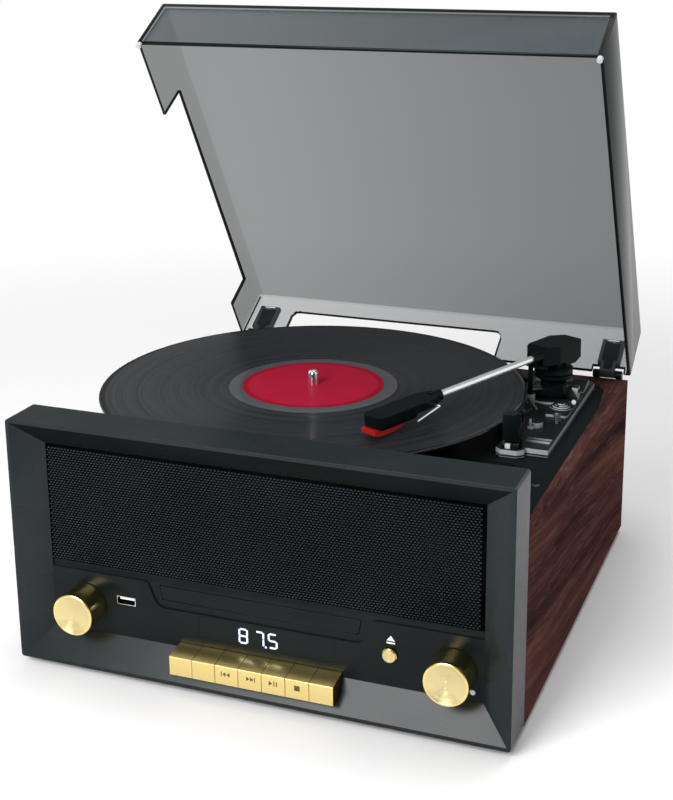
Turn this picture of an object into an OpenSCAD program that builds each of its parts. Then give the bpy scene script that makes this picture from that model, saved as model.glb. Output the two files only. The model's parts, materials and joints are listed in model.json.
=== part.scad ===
// Compact stereo music centre: a wooden cabinet with a belt-driven record deck under a hinged
// smoked lid, and a bevelled front with the loudspeaker grille, disc drawer, display and controls.
// X runs to the right, Y to the back, Z up. Sizes are in millimetres.

/* [Cabinet] */
// Width over the wooden sides
cab_w = 326; // [318:1:350]
// Depth of the wooden cabinet behind the bezel
cab_d = 305; // [300:1:325]
// Height of the wooden sides
cab_h = 119.5; // [117:0.5:130]
// Thickness of the wooden walls
wall_t = 12; // [10:0.5:13]
// Width of wood left showing round the deck
wood_rim = 8; // [6:0.5:9]
// Thickness of the bottom board
bottom_t = 6; // [4:0.5:8]
// Height of the rubber feet
foot_h = 5; // [3:0.5:9]
// Radius of a rubber foot
foot_r = 10; // [7:0.5:13]

/* [Bezel] */
// Height of the bezel
bezel_h = 162.3; // [158:0.1:170]
// Depth of the bezel
bezel_d = 30; // [29:0.5:36]
// Thickness of the bezel's walls
bezel_wall = 3; // [2:0.5:4]
// Width of the flat lip round the bezel's face
lip = 2.5; // [1:0.5:4]
// Depth of the bevel, from the face to the panel
bevel_d = 12.5; // [11:0.5:14]
// Width of the bevel and lip at the sides
bevel_side = 20; // [18:0.5:21]
// Height of the bevel and lip at the top
bevel_top = 17.5; // [14:0.5:20]
// Height of the bevel and lip at the bottom
bevel_bottom = 20.5; // [18:0.5:21]
// Corner radius of the bezel's outline
bezel_r = 2; // [1:0.5:4]

/* [Front panel] */
// Height of the control panel above the bottom bevel
panel_h = 45.5; // [44:0.5:50]
// Thickness of the control panel
panel_t = 3; // [2:0.5:4]
// Thickness of the loudspeaker grille
grille_t = 1.6; // [1:0.2:2.4]
// Pitch of the grille's rows
grille_pitch = 3; // [2.5:0.25:4]
// Radius of a rotary knob
knob_r = 13.8; // [11:0.2:15]
// Distance that a rotary knob stands out of the panel
knob_l = 19; // [15:0.5:24]
// Height of the knob centres above the bottom bevel
knob_z = 18.8; // [17:0.2:22]
// Distance of the tuning knob from the middle of the front
tuning_x = 119; // [112:0.5:124]
// Distance of the volume knob from the middle of the front
volume_x = 125.5; // [118:0.5:126]
// Radius of a rotary control's shaft
shaft_r = 3; // [2.5:0.25:3.5]
// Radius of the eject button
eject_r = 4.7; // [3.5:0.1:6]
// Distance of the eject button from the middle of the front
eject_x = 85.5; // [80:0.5:95]
// Width of a key
key_w = 15.2; // [13:0.1:15.4]
// Gap between two keys
key_gap = 0.35; // [0.3:0.05:0.6]
// Height of a key's front face
key_h = 12.4; // [10:0.2:13]
// Distance that the keys stand out in front of the bezel's face
key_out = 3; // [0:0.5:5]

// Travel of a key
key_travel = 1.5; // [1:0.1:1.6]

/* [Disc drawer] */
// Width of the drawer's front
drawer_w = 134; // [132:0.5:136]
// Height of the drawer's front
drawer_h = 9.4; // [9:0.1:9.8]
// Radius of the disc well in the tray
disc_r = 60.8; // [60.5:0.1:61.5]
// Height of the drawer's lower edge above the bottom bevel
drawer_z = 29.7; // [29.5:0.1:31]

/* [Record deck] */
// Thickness of the deck moulding
deck_t = 3; // [2.5:0.5:4]
// Depth of the platter well below the deck
well_d = 6; // [5:0.5:7]
// Radius of the platter
platter_r = 104; // [100:0.5:105]
// Radius of a twelve-inch record
record_r = 150.8; // [150:0.1:151]
// Thickness of the record
record_t = 1.9; // [1.5:0.1:2.4]
// Radius of the record's label
label_r = 50.5; // [49:0.5:52]
// Distance of the spindle to the left of the middle
spindle_off = 36; // [34:0.5:38]
// Distance of the spindle behind the bezel's face
spindle_y = 192; // [191:0.5:195]
// Radius of the spindle
spindle_r = 3.6; // [3.5:0.05:3.65]
// Radius of the platter's drive ring
ring_r = 60; // [56:0.5:64]
// Radius of the motor pulley
pulley_r = 5.2; // [4.5:0.1:6]
// Clearance between the motor pulley and the platter's rim
pulley_gap = 2.8; // [2:0.1:4]

/* [Tonearm] */
// Distance of the arm's pivot to the right of the middle
pivot_x = 119; // [118:0.5:120]
// Distance of the arm's pivot behind the bezel's face
pivot_y = 275; // [273:0.5:278]
// Height of the arm's axis above the deck, at its pivot
arm_z = 36.5; // [36:0.1:38]
// Distance from the arm's pivot to the stylus
arm_len = 184; // [182:0.5:188]
// Angle that the arm is turned inwards over the record
arm_turn = 25; // [20:0.5:28]
// Slope of the arm down to the record
arm_slope = 1.85; // [1.7:0.05:2.2]
// Radius of the arm tube
tube_r = 2.5; // [2:0.1:2.8]

/* [Lid] */
// Width of the lid
lid_w = 325; // [322:0.5:328]
// Length of the lid from its hinge to its front
lid_len = 298; // [297:0.5:302]
// Height of the lid
lid_h = 46.3; // [45:0.1:52]
// Thickness of the lid's acrylic
lid_t = 2.5; // [2:0.25:3]
// Distance of the lid's middle to the right of the cabinet's
lid_off = 2.5; // [1:0.5:3]
// Angle that the lid stands open
lid_open = 58.8; // [50:0.1:60]
// Height of the hinge axis above the deck
hinge_z = 3.4; // [3.3:0.1:4.5]
// Radius of a hinge pin
pin_r = 1.5; // [1.2:0.1:1.8]

/* [Hidden] */
$fn = 64;

// Where the middle of the bezel's face lies in the part's frame
face_x = 11;
face_y = -184;
// Clearances: a running fit, a sliding gap and a seat that is not bonded
fit = 0.05;
gap = 0.3;
eps = 0.5;

// Cabinet levels and planes, measured from the middle of the bezel's face
base_z = foot_h;
deck_z = base_z + cab_h;
half_w = cab_w / 2;
inner_x = half_w - wall_t;
rear_y = bezel_d + cab_d;
inner_y = rear_y - wall_t;
floor_z = base_z + bottom_t;
foot_x = half_w - 28;
foot_front_y = 60;
foot_rear_y = rear_y - 30;
// Rear corners of the deck, cut off in two steps
corner_x = [0, 4.5, 24];
corner_y = [62, 21, 0];
baffle_t = 9;
deck_x = half_w - wood_rim;
deck_rear_y = rear_y - wood_rim;

// Opening inside the bevel, and the panel's edge behind it
open_x = half_w - bevel_side;
open_z0 = base_z + bevel_bottom;
open_z1 = base_z + bezel_h - bevel_top;
edge_lap = 2.7;
panel_z1 = open_z0 + panel_h;
panel_back = bevel_d + panel_t;
board_y = bezel_d - 4;
board_t = 1.6;
knob_cz = open_z0 + knob_z;
eject_z = open_z0 + 20.6;
usb_x = -91;
usb_z = open_z0 + 24.5;
usb_w = 13.2;
usb_h = 5.7;
window_w = 90;
window_h = 15;
window_x = 5;
window_z = open_z0 + 16;

// Keys: a row with its top just above the panel's lower edge
key_n = 7;
key_pitch = key_w + key_gap;
key_mid_x = 0.9;
key_top = open_z0 + 1.4;
key_rise = 1.9;
key_back = 22;
key_row = key_n * key_pitch - key_gap;

// Disc drawer
door_z0 = open_z0 + drawer_z;
door_z1 = door_z0 + drawer_h;
recess_d = 1.2;
// The drawer's front and the recess round it are narrower at the bottom
front_slant = 1.7;
recess_z0 = door_z0 - 5.4;
recess_z1 = door_z1 + 1.7;
recess_x0 = 63;
recess_x1 = 74.2;
door_t = 3;
door_y = bevel_d + 0.9;
tray_w = 128;
tray_t = 7;
tray_z0 = door_z0 + 0.5;
tray_y0 = door_y + door_t;
tray_l = 190;
tray_y1 = tray_y0 + tray_l;
tray_hub_r = 20;
tray_slot = 28;
tray_rear = 80;
chassis_w = tray_w + 14;
chassis_wall = 2.5;
chassis_y0 = bezel_d + baffle_t + 2;
chassis_y1 = tray_y1 + 7;
chassis_z1 = door_z1 + 5;

// Loudspeakers
speaker_r = 24;
speaker_x = chassis_w / 2 + 32;
speaker_z = deck_z - 31.5;
speaker_l = 30;
magnet_r = speaker_r - 7;

// Main circuit board, behind the disc drive
main_w = 150;
stand_h = 8;
stand_r = 3;
can_r = 6;
can_h = 18;

// Record deck
spindle_x = -spindle_off;
well_z = deck_z - well_d;
well_in = 12;
well_x0 = well_in - deck_x;
well_x1 = 92;
well_front_x1 = 128;
well_y0 = 50;
well_y1 = deck_rear_y - well_in;
well_step_y = 140;
platter_z0 = well_z + 2.5;
platter_h = 18.5;
platter_z1 = platter_z0 + platter_h;
bearing_l = 17;
bearing_r = 12;
mat_t = 2.5;
record_z0 = platter_z1 + mat_t;
record_z1 = record_z0 + record_t;
label_t = 0.15;
spindle_top = record_z1 + 11;
rim_t = 3;
motor_off = platter_r - rim_t - pulley_r - 1 - pulley_gap;
motor_x = spindle_x - motor_off * sin(37);
motor_y = spindle_y - motor_off * cos(37);
ring_z0 = platter_z0 + 3;
ring_z1 = platter_z1 - 2.5;
belt_z0 = ring_z0 + 3;
belt_h = 4;
belt_t = 0.8;
bush_r = 6;
motor_r = 15;
motor_h = 24;
flange_r = 19;
flange_t = 2;

// Tonearm
base_x0 = 98;
base_x1 = half_w - 19.5;
base_y0 = 157;
base_y1 = pivot_y + 37;
base_floor = 2.5;
nose_side = 4;
nose_l = 8;
nose_mid = 26;
nose_top = 42;
base_rim = 5;
plate_z = deck_z + base_floor;
pitch_z = deck_z + arm_z;
yoke_z = pitch_z - 15;
pitch_r = 1.5;
yoke_x = 7;
block_x0 = -13;
block_x1 = 9;
block_y0 = -17;
block_y1 = 20;
block_z0 = -7.5;
block_z1 = 6;
block_drop = 3;
sleeve_l = 9;
sleeve_t = 1.5;
axis_drop = arm_len * tan(arm_slope);
// The stylus tip hangs this far below the arm's axis, just clear of the record
tip_gap = 0.3;
tip_drop = pitch_z - axis_drop - record_z1 - tip_gap;
shell_l = 62;
shell_w = 17;
shell_at = arm_len - shell_l + 4;
cart_w = 12.4;
rest_r = 115.5;
rest_drop = 2.9;
rest_top = pitch_z - rest_r * tan(arm_slope) - tube_r - rest_drop;
rest_half = 5.5;
rest_side = 1.1;
clip_x = tube_r + 2.9;
clip_z = rest_top - 2;
clip_open = 55;
clip_r = 0.7;
cue_r = 23.5;
cue_top = pitch_z - cue_r * tan(arm_slope) - tube_r - sleeve_t - 0.7;
cue_span = [229, 272];
cue_mid = (cue_span[0] + cue_span[1]) / 2;
cue_stem_a = cue_span[0] + 10;
cue_wide = 4;
cue_t = 1.6;
cue_stem_r = 1.8;
cue_x = pivot_x + cue_r * cos(cue_stem_a);
cue_y = pivot_y + cue_r * sin(cue_stem_a);
lever_x = pivot_x + 15;
lever_y = pivot_y - 9;
lever_z = deck_z + 11;
switch_x = pivot_x + 2.5;
switch_y = base_y0 - 1;
foot_flange = 16;
cap_r = 14;
neck_r = 9.2;
ramp_r = 18.8;
ramp_span = [208, 304];
dome_x = pivot_x + 11;
dome_y = pivot_y - 23;
spring_x = base_x1 - 8;
spring_y = 217;

// Lid
hinge_y = rear_y;
hinge_h = deck_z + hinge_z;
hinge_x = half_w - 18;
ear_t = 5;
knuckle_w = 11.4;
knuckle_r = 3;
bracket_t = 3;
notch_r = 5.5;
leaf_t = 4;
leaf_w = 17;
leaf_l = 23.5;
skirt_low = 17.5;
notch_y0 = 38;
notch_y1 = 234;
cut_x0 = -122.5;
cut_x1 = 57;
cut_r = 6;
bumper_r = 1.9;

module place() translate([face_x, face_y, 0]) children();
module block(a, b) translate(a) cube([b[0] - a[0], b[1] - a[1], b[2] - a[2]]);
module cyl_y(r, h) rotate([-90, 0, 0]) cylinder(r = r, h = h);
module cyl_x(r, h) rotate([0, 90, 0]) cylinder(r = r, h = h);
// An outline in X and Z, drawn on the front and extruded to the back
module to_back(h) rotate([90, 0, 0]) mirror([0, 0, 1]) linear_extrude(h) children();
// An outline in Y and Z, extruded along X
module along_x(h) rotate([90, 0, 90]) linear_extrude(h) children();

module rounded(x0, y0, x1, y1, r) {
    translate([x0 + r, y0]) square([x1 - x0 - 2 * r, y1 - y0]);
    translate([x0, y0 + r]) square([x1 - x0, y1 - y0 - 2 * r]);
    for (x = [x0 + r, x1 - r]) for (y = [y0 + r, y1 - r]) translate([x, y]) circle(r);
}

// Cabinet: two sides and a rear board, rebated for the deck, with a block in each rear corner
module deck_outline(inset) {
    x = deck_x - inset;
    y = deck_rear_y - inset;
    polygon([
        [-x, bezel_d], [x, bezel_d],
        for (i = [0 : 2]) [x - corner_x[i], y - corner_y[i]],
        for (i = [2 : -1 : 0]) [corner_x[i] - x, y - corner_y[i]]
    ]);
}

module cabinet() color([0.24, 0.13, 0.12]) place() difference() {
    union() {
        for (s = [-1, 1]) on_side(s) block([inner_x, bezel_d, base_z], [half_w, rear_y, deck_z]);
        block([-half_w, inner_y, base_z], [half_w, rear_y, deck_z]);
        for (s = [-1, 1]) on_side(s) translate([0, 0, deck_z - 30]) linear_extrude(30) polygon([
            [inner_x, inner_y - corner_w], [inner_x, inner_y], [inner_x - corner_w, inner_y]
        ]);
        block([inner_x - 12, batten_y - 14, deck_z - deck_t - 14], [inner_x, batten_y + 14, deck_z - deck_t]);
    }
    translate([0, 0, deck_z - deck_t]) linear_extrude(deck_t + eps) deck_outline(0);
    socket_cut();
    screw_holes();
}
batten_y = 111;
corner_w = 29;
module on_side(s) {
    if (s > 0) children();
    else mirror([1, 0, 0]) children();
}

module bottom_panel() color([0.30, 0.24, 0.20]) place() difference() {
    block([-inner_x, bezel_d, base_z], [inner_x, inner_y, floor_z]);
    for (i = [-4 : 4]) translate([0, 0, base_z - eps]) linear_extrude(bottom_t + 2 * eps)
        rounded(i * 12 - 2, 215, i * 12 + 2, 265, 1.9);
}

module rubber_feet() color([0.06, 0.06, 0.06]) place()
    for (x = [-foot_x, foot_x]) for (y = [foot_front_y, foot_rear_y]) translate([x, y, 0])
        rotate_extrude() polygon([
            [0, 0], [foot_r - 1.5, 0], [foot_r, foot_h], [0, foot_h]
        ]);

// Bezel: a hollow frame with a flat lip and a bevel that falls back to the panel
module bevel_space(grow, reach) {
    x0 = half_w - lip + grow;
    x1 = open_x + grow;
    z0 = base_z + lip - grow;
    z1 = open_z0 - grow;
    z2 = open_z1 + grow;
    z3 = base_z + bezel_h - lip + grow;
    intersection() {
        translate([0, 0, base_z - 20]) linear_extrude(bezel_h + 40) polygon([
            [-x0, -1], [-x0, 0], [-x1, bevel_d], [-x1, bevel_d + reach],
            [x1, bevel_d + reach], [x1, bevel_d], [x0, 0], [x0, -1]
        ]);
        translate([-half_w - 20, 0, 0]) along_x(cab_w + 40) polygon([
            [-1, z0], [0, z0], [bevel_d, z1], [bevel_d + reach, z1],
            [bevel_d + reach, z2], [bevel_d, z2], [0, z3], [-1, z3]
        ]);
    }
}

module front_bezel() color([0.16, 0.18, 0.19]) place() difference() {
    to_back(bezel_d) rounded(-half_w, base_z, half_w, base_z + bezel_h, bezel_r);
    bevel_space(0, eps);
    difference() {
        block(
            [-half_w + bezel_wall, bezel_wall, base_z + bezel_wall],
            [half_w - bezel_wall, bezel_d - bezel_wall, base_z + bezel_h - bezel_wall]
        );
        bevel_space(bezel_wall + 1, 0);
    }
    block(
        [-half_w + bezel_wall, bezel_d - bezel_wall - eps, base_z + bezel_wall],
        [half_w - bezel_wall, bezel_d + eps, deck_z - deck_t]
    );
    key_slot();
}

// Slot that the row of keys passes through, in the bevel and in the panel
module key_slot() block(
    [key_mid_x - key_row / 2 - gap, -eps, key_top - key_h - gap],
    [key_mid_x + key_row / 2 + gap, bezel_d - 8, key_top + key_rise + gap]
);

module drawer_recess() to_back(recess_d) polygon([
    [-open_x - edge_lap - 1, panel_z1 + 1], [-open_x - edge_lap - 1, recess_z1],
    [-recess_x1 - 3, recess_z1], [-recess_x1 - 1, recess_z1 - 0.8], [-recess_x1, recess_z1 - 2.5],
    [-recess_x0 - 7.5, recess_z0 + 5], [-recess_x0 - 6, recess_z0 + 2.2], [-recess_x0 - 3.6, recess_z0 + 0.6],
    [-recess_x0, recess_z0], [recess_x0, recess_z0],
    [recess_x0 + 3.6, recess_z0 + 0.6], [recess_x0 + 6, recess_z0 + 2.2], [recess_x0 + 7.5, recess_z0 + 5],
    [recess_x1, recess_z1 - 2.5], [recess_x1 + 1, recess_z1 - 0.8], [recess_x1 + 3, recess_z1],
    [open_x + edge_lap + 1, recess_z1], [open_x + edge_lap + 1, panel_z1 + 1]
]);
module drawer_outline(grow) {
    x1 = drawer_w / 2 + grow;
    x0 = x1 - front_slant;
    z0 = door_z0 - grow;
    z1 = door_z1 + grow;
    polygon([
        [-x0, z0 + 0.8], [0.8 - x0, z0], [x0 - 0.8, z0], [x0, z0 + 0.8],
        [x1, z1 - 0.8], [x1 - 0.8, z1], [0.8 - x1, z1], [-x1, z1 - 0.8]
    ]);
}

module control_panel() color([0.13, 0.15, 0.16]) place() difference() {
    block([-open_x - edge_lap, bevel_d, open_z0 - edge_lap], [open_x + edge_lap, panel_back, panel_z1]);
    translate([0, bevel_d - eps, 0]) {
        for (x = [-tuning_x, volume_x]) translate([x, 0, knob_cz]) cyl_y(shaft_r + 1.2, panel_t + 2 * eps);
        translate([eject_x, 0, eject_z]) cyl_y(eject_r + gap, panel_t + 2 * eps);
        to_back(panel_t + 2 * eps) {
            drawer_outline(gap);
            rounded(
                window_x - window_w / 2 - fit, window_z - window_h / 2 - fit,
                window_x + window_w / 2 + fit, window_z + window_h / 2 + fit, 1.5
            );
            square_hole(usb_x, usb_z, usb_w + 0.4, usb_h + 0.4);
        }
    }
    translate([0, bevel_d, 0]) drawer_recess();
    key_slot();
}
module square_hole(x, z, w, h) translate([x - w / 2, z - h / 2]) square([w, h]);

// Grille: a plate with a fine row of ribs, drawn as one toothed profile
grille_z0 = panel_z1 + gap;
grille_z1 = open_z1 + edge_lap;
grille_rows = floor((open_z1 - grille_z0 - 4) / grille_pitch);
module speaker_grille() color([0.05, 0.05, 0.06]) place()
    translate([-open_x - edge_lap, 0, 0]) along_x(2 * (open_x + edge_lap)) polygon(concat(
        [[bevel_d + grille_t, grille_z0], [bevel_d + grille_t, grille_z1], [bevel_d, grille_z1]],
        [for (i = [grille_rows : -1 : 1]) let (z = grille_z0 + i * grille_pitch) each [
            [bevel_d, z + 0.5], [bevel_d + 0.8, z + 0.3], [bevel_d + 0.8, z - 1.1], [bevel_d, z - 1.3]
        ]],
        [[bevel_d, grille_z0]]
    ));

module display_window() color([0.03, 0.03, 0.05]) place() translate([0, bevel_d, 0]) to_back(panel_t)
    rounded(
        window_x - window_w / 2, window_z - window_h / 2,
        window_x + window_w / 2, window_z + window_h / 2, 1.5
    );

module usb_socket() color([0.75, 0.76, 0.78]) place() difference() {
    translate([usb_x, bevel_d + 0.2, usb_z]) to_back(board_y - bevel_d - 0.2)
        square_hole(0, 0, usb_w, usb_h);
    translate([usb_x, bevel_d - eps, usb_z]) difference() {
        to_back(10) square_hole(0, 0, usb_w - 0.8, usb_h - 0.8);
        translate([0, 2, 0.9]) to_back(10) square_hole(0, 0, usb_w - 3, 1.4);
    }
}

// Baffle: the board behind the bezel, with the loudspeaker holes and the drawer's opening
module baffle_board() color([0.45, 0.36, 0.26]) place() difference() {
    block([-inner_x, bezel_d, floor_z], [inner_x, bezel_d + baffle_t, deck_z - deck_t]);
    for (s = [-1, 1]) translate([s * speaker_x, bezel_d - eps, speaker_z])
        cyl_y(speaker_r + gap, baffle_t + 2 * eps);
    block(
        [-tray_w / 2 - 2, bezel_d - eps, tray_z0 - 2],
        [tray_w / 2 + 2, bezel_d + baffle_t + eps, door_z1 + 3]
    );
    screw_holes();
}

module speakers() color([0.12, 0.12, 0.12]) place()
    for (s = [-1, 1]) translate([s * speaker_x, bezel_d, speaker_z]) rotate([90, 0, 0]) mirror([0, 0, 1])
        rotate_extrude() polygon([
            [0, 9], [5, 8], [8, 12], [speaker_r - 4, 2], [speaker_r - 1.5, 0.5], [speaker_r - 0.6, -1.5],
            [speaker_r - 0.6, -2.5], [speaker_r + 3, -2.5], [speaker_r + 3, 0], [speaker_r, 0],
            [speaker_r, 8], [magnet_r, speaker_l - 10], [magnet_r, speaker_l], [0, speaker_l]
        ]);

// Switch board behind the keys, with its push switches, the display's segments and the eject switch
module front_board() color([0.10, 0.28, 0.16]) place() {
    board_x0 = usb_x - 12;
    board_x1 = eject_x + 12;
    block([board_x0, board_y, base_z + 6], [board_x1, board_y + board_t, tray_z0 - 3]);
    for (i = [0 : key_n - 1]) translate([key_x(i), key_back + key_travel + gap, key_top - key_h / 2])
        cyl_y(2, board_y - key_back - key_travel - gap);
    translate([eject_x, board_y - 3, eject_z]) cyl_y(2, 3);
    for (x = [board_x0 + 6, board_x1 - 6]) for (z = [base_z + 12, tray_z0 - 9])
        translate([x, board_y + board_t, z]) cyl_y(2.5, bezel_d - board_y - board_t);
    block(
        [window_x - 26, panel_back + 1, window_z - 6],
        [window_x + 16, board_y, window_z + 6]
    );
}
function key_x(i) = key_mid_x + (i - (key_n - 1) / 2) * key_pitch;

// Tuning encoder and volume control on the back of the panel, each with its threaded bush
control_l = 11;
module rotary_controls() color([0.55, 0.56, 0.58]) place()
    for (x = [-tuning_x, volume_x]) translate([x, 0, knob_cz]) difference() {
        union() {
            translate([-8, panel_back, -8]) cube([16, control_l, 16]);
            translate([0, bevel_d - 4, 0]) cyl_y(shaft_r + 0.9, panel_back - bevel_d + 4);
        }
        translate([0, bevel_d - 4 - eps, 0]) cyl_y(shaft_r + fit, panel_t + 4 + control_l - 1);
    }

module rotary_shaft(x) place() translate([x, bevel_d - knob_l + 4, knob_cz])
    cyl_y(shaft_r, knob_l + panel_t + control_l - 7);

// Knob: a spun metal shell with a chamfered face, hollow at the back, on its shaft's boss
module rotary_knob(x) place() translate([x, bevel_d - knob_l, knob_cz]) rotate([-90, 0, 0])
    rotate_extrude($fn = 96) polygon([
        [0, 0.5], [knob_r - 1.6, 0.3], [knob_r - 1.2, 0], [knob_r - 0.7, 0], [knob_r, 0.7],
        [knob_r, 2.2], [knob_r - 0.3, 2.5], [knob_r - 0.3, knob_l - 0.5], [knob_r - 2.3, knob_l - 0.5],
        [knob_r - 2.3, 4], [shaft_r + 2.5, 4], [shaft_r + 2.5, knob_l - 6], [shaft_r + fit, knob_l - 6],
        [shaft_r + fit, 4], [0, 4]
    ]);
module tuning_knob() color([0.83, 0.68, 0.30]) rotary_knob(-tuning_x);
module volume_knob() color([0.83, 0.68, 0.30]) rotary_knob(volume_x);
module tuning_shaft() color([0.70, 0.70, 0.72]) rotary_shaft(-tuning_x);
module volume_shaft() color([0.70, 0.70, 0.72]) rotary_shaft(volume_x);

module eject_button() color([0.85, 0.72, 0.36]) place() translate([eject_x, bevel_d - 2.4, eject_z])
    rotate([-90, 0, 0]) rotate_extrude() polygon([
        [0, 0], [eject_r - 0.8, 0], [eject_r, 0.8], [eject_r, panel_t + 2.7],
        [eject_r + 1.2, panel_t + 2.7], [eject_r + 1.2, panel_t + 4], [2, panel_t + 4],
        [2, board_y - bevel_d - 2.2], [0, board_y - bevel_d - 2.2]
    ]);

// Key: a block with a sloping top, seen from its end, and a stem to its switch
module key(i) color([0.83, 0.68, 0.30]) place() {
    translate([key_x(i) - key_w / 2, 0, 0]) along_x(key_w) polygon([
        [-key_out, key_top - key_h], [-key_out, key_top - 0.4], [-key_out + 0.4, key_top],
        [bevel_d, key_top + key_rise], [panel_back + gap, key_top + key_rise],
        [panel_back + gap, key_top + key_rise + 1.5], [panel_back + 1.8, key_top + key_rise + 1.5],
        [panel_back + 1.8, key_top - key_h]
    ]);
    translate([key_x(i), panel_back + 1.8, key_top - key_h / 2]) cyl_y(3, key_back - panel_back - 1.8);
}
module key_1() key(0);
module key_2() key(1);
module key_3() key(2);
module key_4() key(3);
module key_5() key(4);
module key_6() key(5);
module key_7() key(6);

// Disc drive: an open-fronted chassis on the bottom board, with ledges that carry the tray
module cd_chassis() color([0.55, 0.57, 0.60]) place() {
    x = chassis_w / 2;
    difference() {
        block([-x, chassis_y0, floor_z], [x, chassis_y1, chassis_z1]);
        block(
            [-tray_w / 2 - gap, chassis_y0 - eps, tray_z0 - gap],
            [tray_w / 2 + gap, chassis_y1 - chassis_wall, chassis_z1 - chassis_wall]
        );
        block(
            [-x + 14, chassis_y0 - eps, floor_z - eps],
            [x - 14, chassis_y1 - chassis_wall, tray_z0 - gap + eps]
        );
    }
    block([-x + 14, chassis_y0 + 20, tray_z0 - 14], [x - 14, chassis_y1 - chassis_wall, tray_z0 - 8]);
    translate([0, tray_mid_y, tray_z0 - 8 - eps]) cylinder(r = 14, h = 6);
}
tray_mid_y = tray_y0 + 4 + disc_r;

module cd_tray() color([0.10, 0.10, 0.11]) place() difference() {
    block([-tray_w / 2, tray_y0, tray_z0], [tray_w / 2, tray_y1, tray_z0 + tray_t]);
    translate([0, tray_mid_y, tray_z0 + tray_t - 3]) cylinder(r = disc_r, h = 4, $fn = 96);
    translate([0, tray_mid_y, tray_z0 + tray_t - 4.5]) cylinder(r = disc_r * 2 / 3, h = 3);
    translate([0, tray_mid_y, tray_z0 - eps]) linear_extrude(tray_t) {
        circle(tray_hub_r);
        translate([-tray_slot / 2, 0]) square([tray_slot, disc_r - 8]);
        translate([-tray_rear / 2, disc_r + 8]) square([tray_rear, tray_y1 - tray_mid_y - disc_r - 20]);
    }
}

module cd_drawer_front() color([0.10, 0.12, 0.13]) place() translate([0, door_y, 0]) to_back(door_t)
    drawer_outline(0);

module main_board() color([0.10, 0.30, 0.18]) place() {
    x0 = 18 - inner_x;
    x1 = x0 + main_w;
    y0 = chassis_y1 + 8;
    y1 = inner_y - 14;
    z0 = floor_z + stand_h;
    block([x0, y0, z0], [x1, y1, z0 + board_t]);
    for (x = [x0 + 8, x1 - 8]) for (y = [y0 + 8, y1 - 8])
        translate([x, y, floor_z]) cylinder(r = stand_r, h = stand_h);
    for (i = [0 : 2]) translate([x0 + main_w * (0.2 + 0.16 * i), y0 + 25, z0 + board_t])
        cylinder(r = can_r, h = can_h);
    block([x1 - 55, y0 + 14, z0 + board_t], [x1 - 20, y0 + 22, z0 + 26]);
}

// Sockets at the back: two phono jacks, a headphone-size input and the power inlet
socket_x = 70;
socket_z = base_z + 45;
plate_w = 84;
plate_h = 26;
socket_at = [[-28, 5.5], [-8, 5.5], [12, 3.2], [30, 4]];
module socket_cut() translate([socket_x, inner_y - eps, socket_z]) to_back(wall_t + 2 * eps)
    square_hole(0, 0, plate_w - 8, plate_h - 8);
module socket_plate() color([0.08, 0.08, 0.09]) place() translate([socket_x, rear_y, socket_z]) {
    difference() {
        union() {
            to_back(1.6) rounded(-plate_w / 2, -plate_h / 2, plate_w / 2, plate_h / 2, 2);
            translate([0, -wall_t, 0]) to_back(wall_t)
                square_hole(0, 0, plate_w - 8.6, plate_h - 8.6);
        }
        for (s = [2, 3]) translate([socket_at[s][0], -8, 0]) cyl_y(socket_at[s][1], 8 + 1.6 + eps);
        for (s = [0, 1]) translate([socket_at[s][0], -4, 0]) cyl_y(socket_at[s][1], 4 + 1.6 + eps);
    }
    for (s = [0, 1]) translate([socket_at[s][0], -4, 0]) difference() {
        cyl_y(4.1, 12);
        translate([0, 2, 0]) cyl_y(1.6, 12);
    }
    translate([socket_at[3][0], -8, 0]) cyl_y(1, 7);
}

// Deck: a moulded plate with a sunken well for the platter
module well_outline(grow) intersection() {
    union() {
        rounded(well_x0 - grow, well_y0 - grow, well_x1 + grow, well_y1 + grow, 6 + grow);
        rounded(well_x0 - grow, well_y0 - grow, well_front_x1 + grow, well_step_y + grow, 6 + grow);
    }
    deck_outline(well_in - grow);
}
module turntable_deck() color([0.07, 0.08, 0.08]) place() difference() {
    union() {
        translate([0, 0, deck_z - deck_t]) linear_extrude(deck_t) deck_outline(0.2);
        translate([0, 0, well_z - deck_t]) linear_extrude(well_d) well_outline(deck_t);
    }
    translate([0, 0, well_z]) linear_extrude(well_d + eps) well_outline(0);
    translate([spindle_x, spindle_y, well_z - deck_t - eps]) cylinder(r = bush_r + fit, h = deck_t + 2 * eps);
    translate([motor_x, motor_y, well_z - deck_t - eps]) cylinder(r = pulley_r + 1.5, h = deck_t + 2 * eps);
    screw_holes();
    for (p = screw_at) translate([p[0], p[1], deck_z - 1]) cylinder(r = screw_head + 0.4, h = 2);
}
screw_r = 1.5;
screw_head = 3;
screw_l = 9;
screw_at = [
    [deck_x - 8.5, batten_y], [deck_x - 12, deck_rear_y - 20.5], [12 - deck_x, deck_rear_y - 20.5],
    [-60, bezel_d + baffle_t / 2], [0, bezel_d + baffle_t / 2], [60, bezel_d + baffle_t / 2]
];
module screw_holes() for (p = screw_at) translate([p[0], p[1], deck_z - screw_l - 2])
    cylinder(r = screw_r + fit, h = screw_l + 2 + eps);
module deck_screws() color([0.20, 0.20, 0.21]) place() for (p = screw_at)
    translate([p[0], p[1], deck_z]) difference() {
        rotate_extrude() polygon([
            [0, -0.2], [screw_head - 1, -0.2], [screw_head, -0.6], [screw_head, -1], [screw_r, -1],
            [screw_r, 1.5 - screw_l], [0, -screw_l]
        ]);
        for (a = [0, 90]) rotate(a) translate([-1.8, -0.35, -0.9]) cube([3.6, 0.7, 2]);
    }

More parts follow.
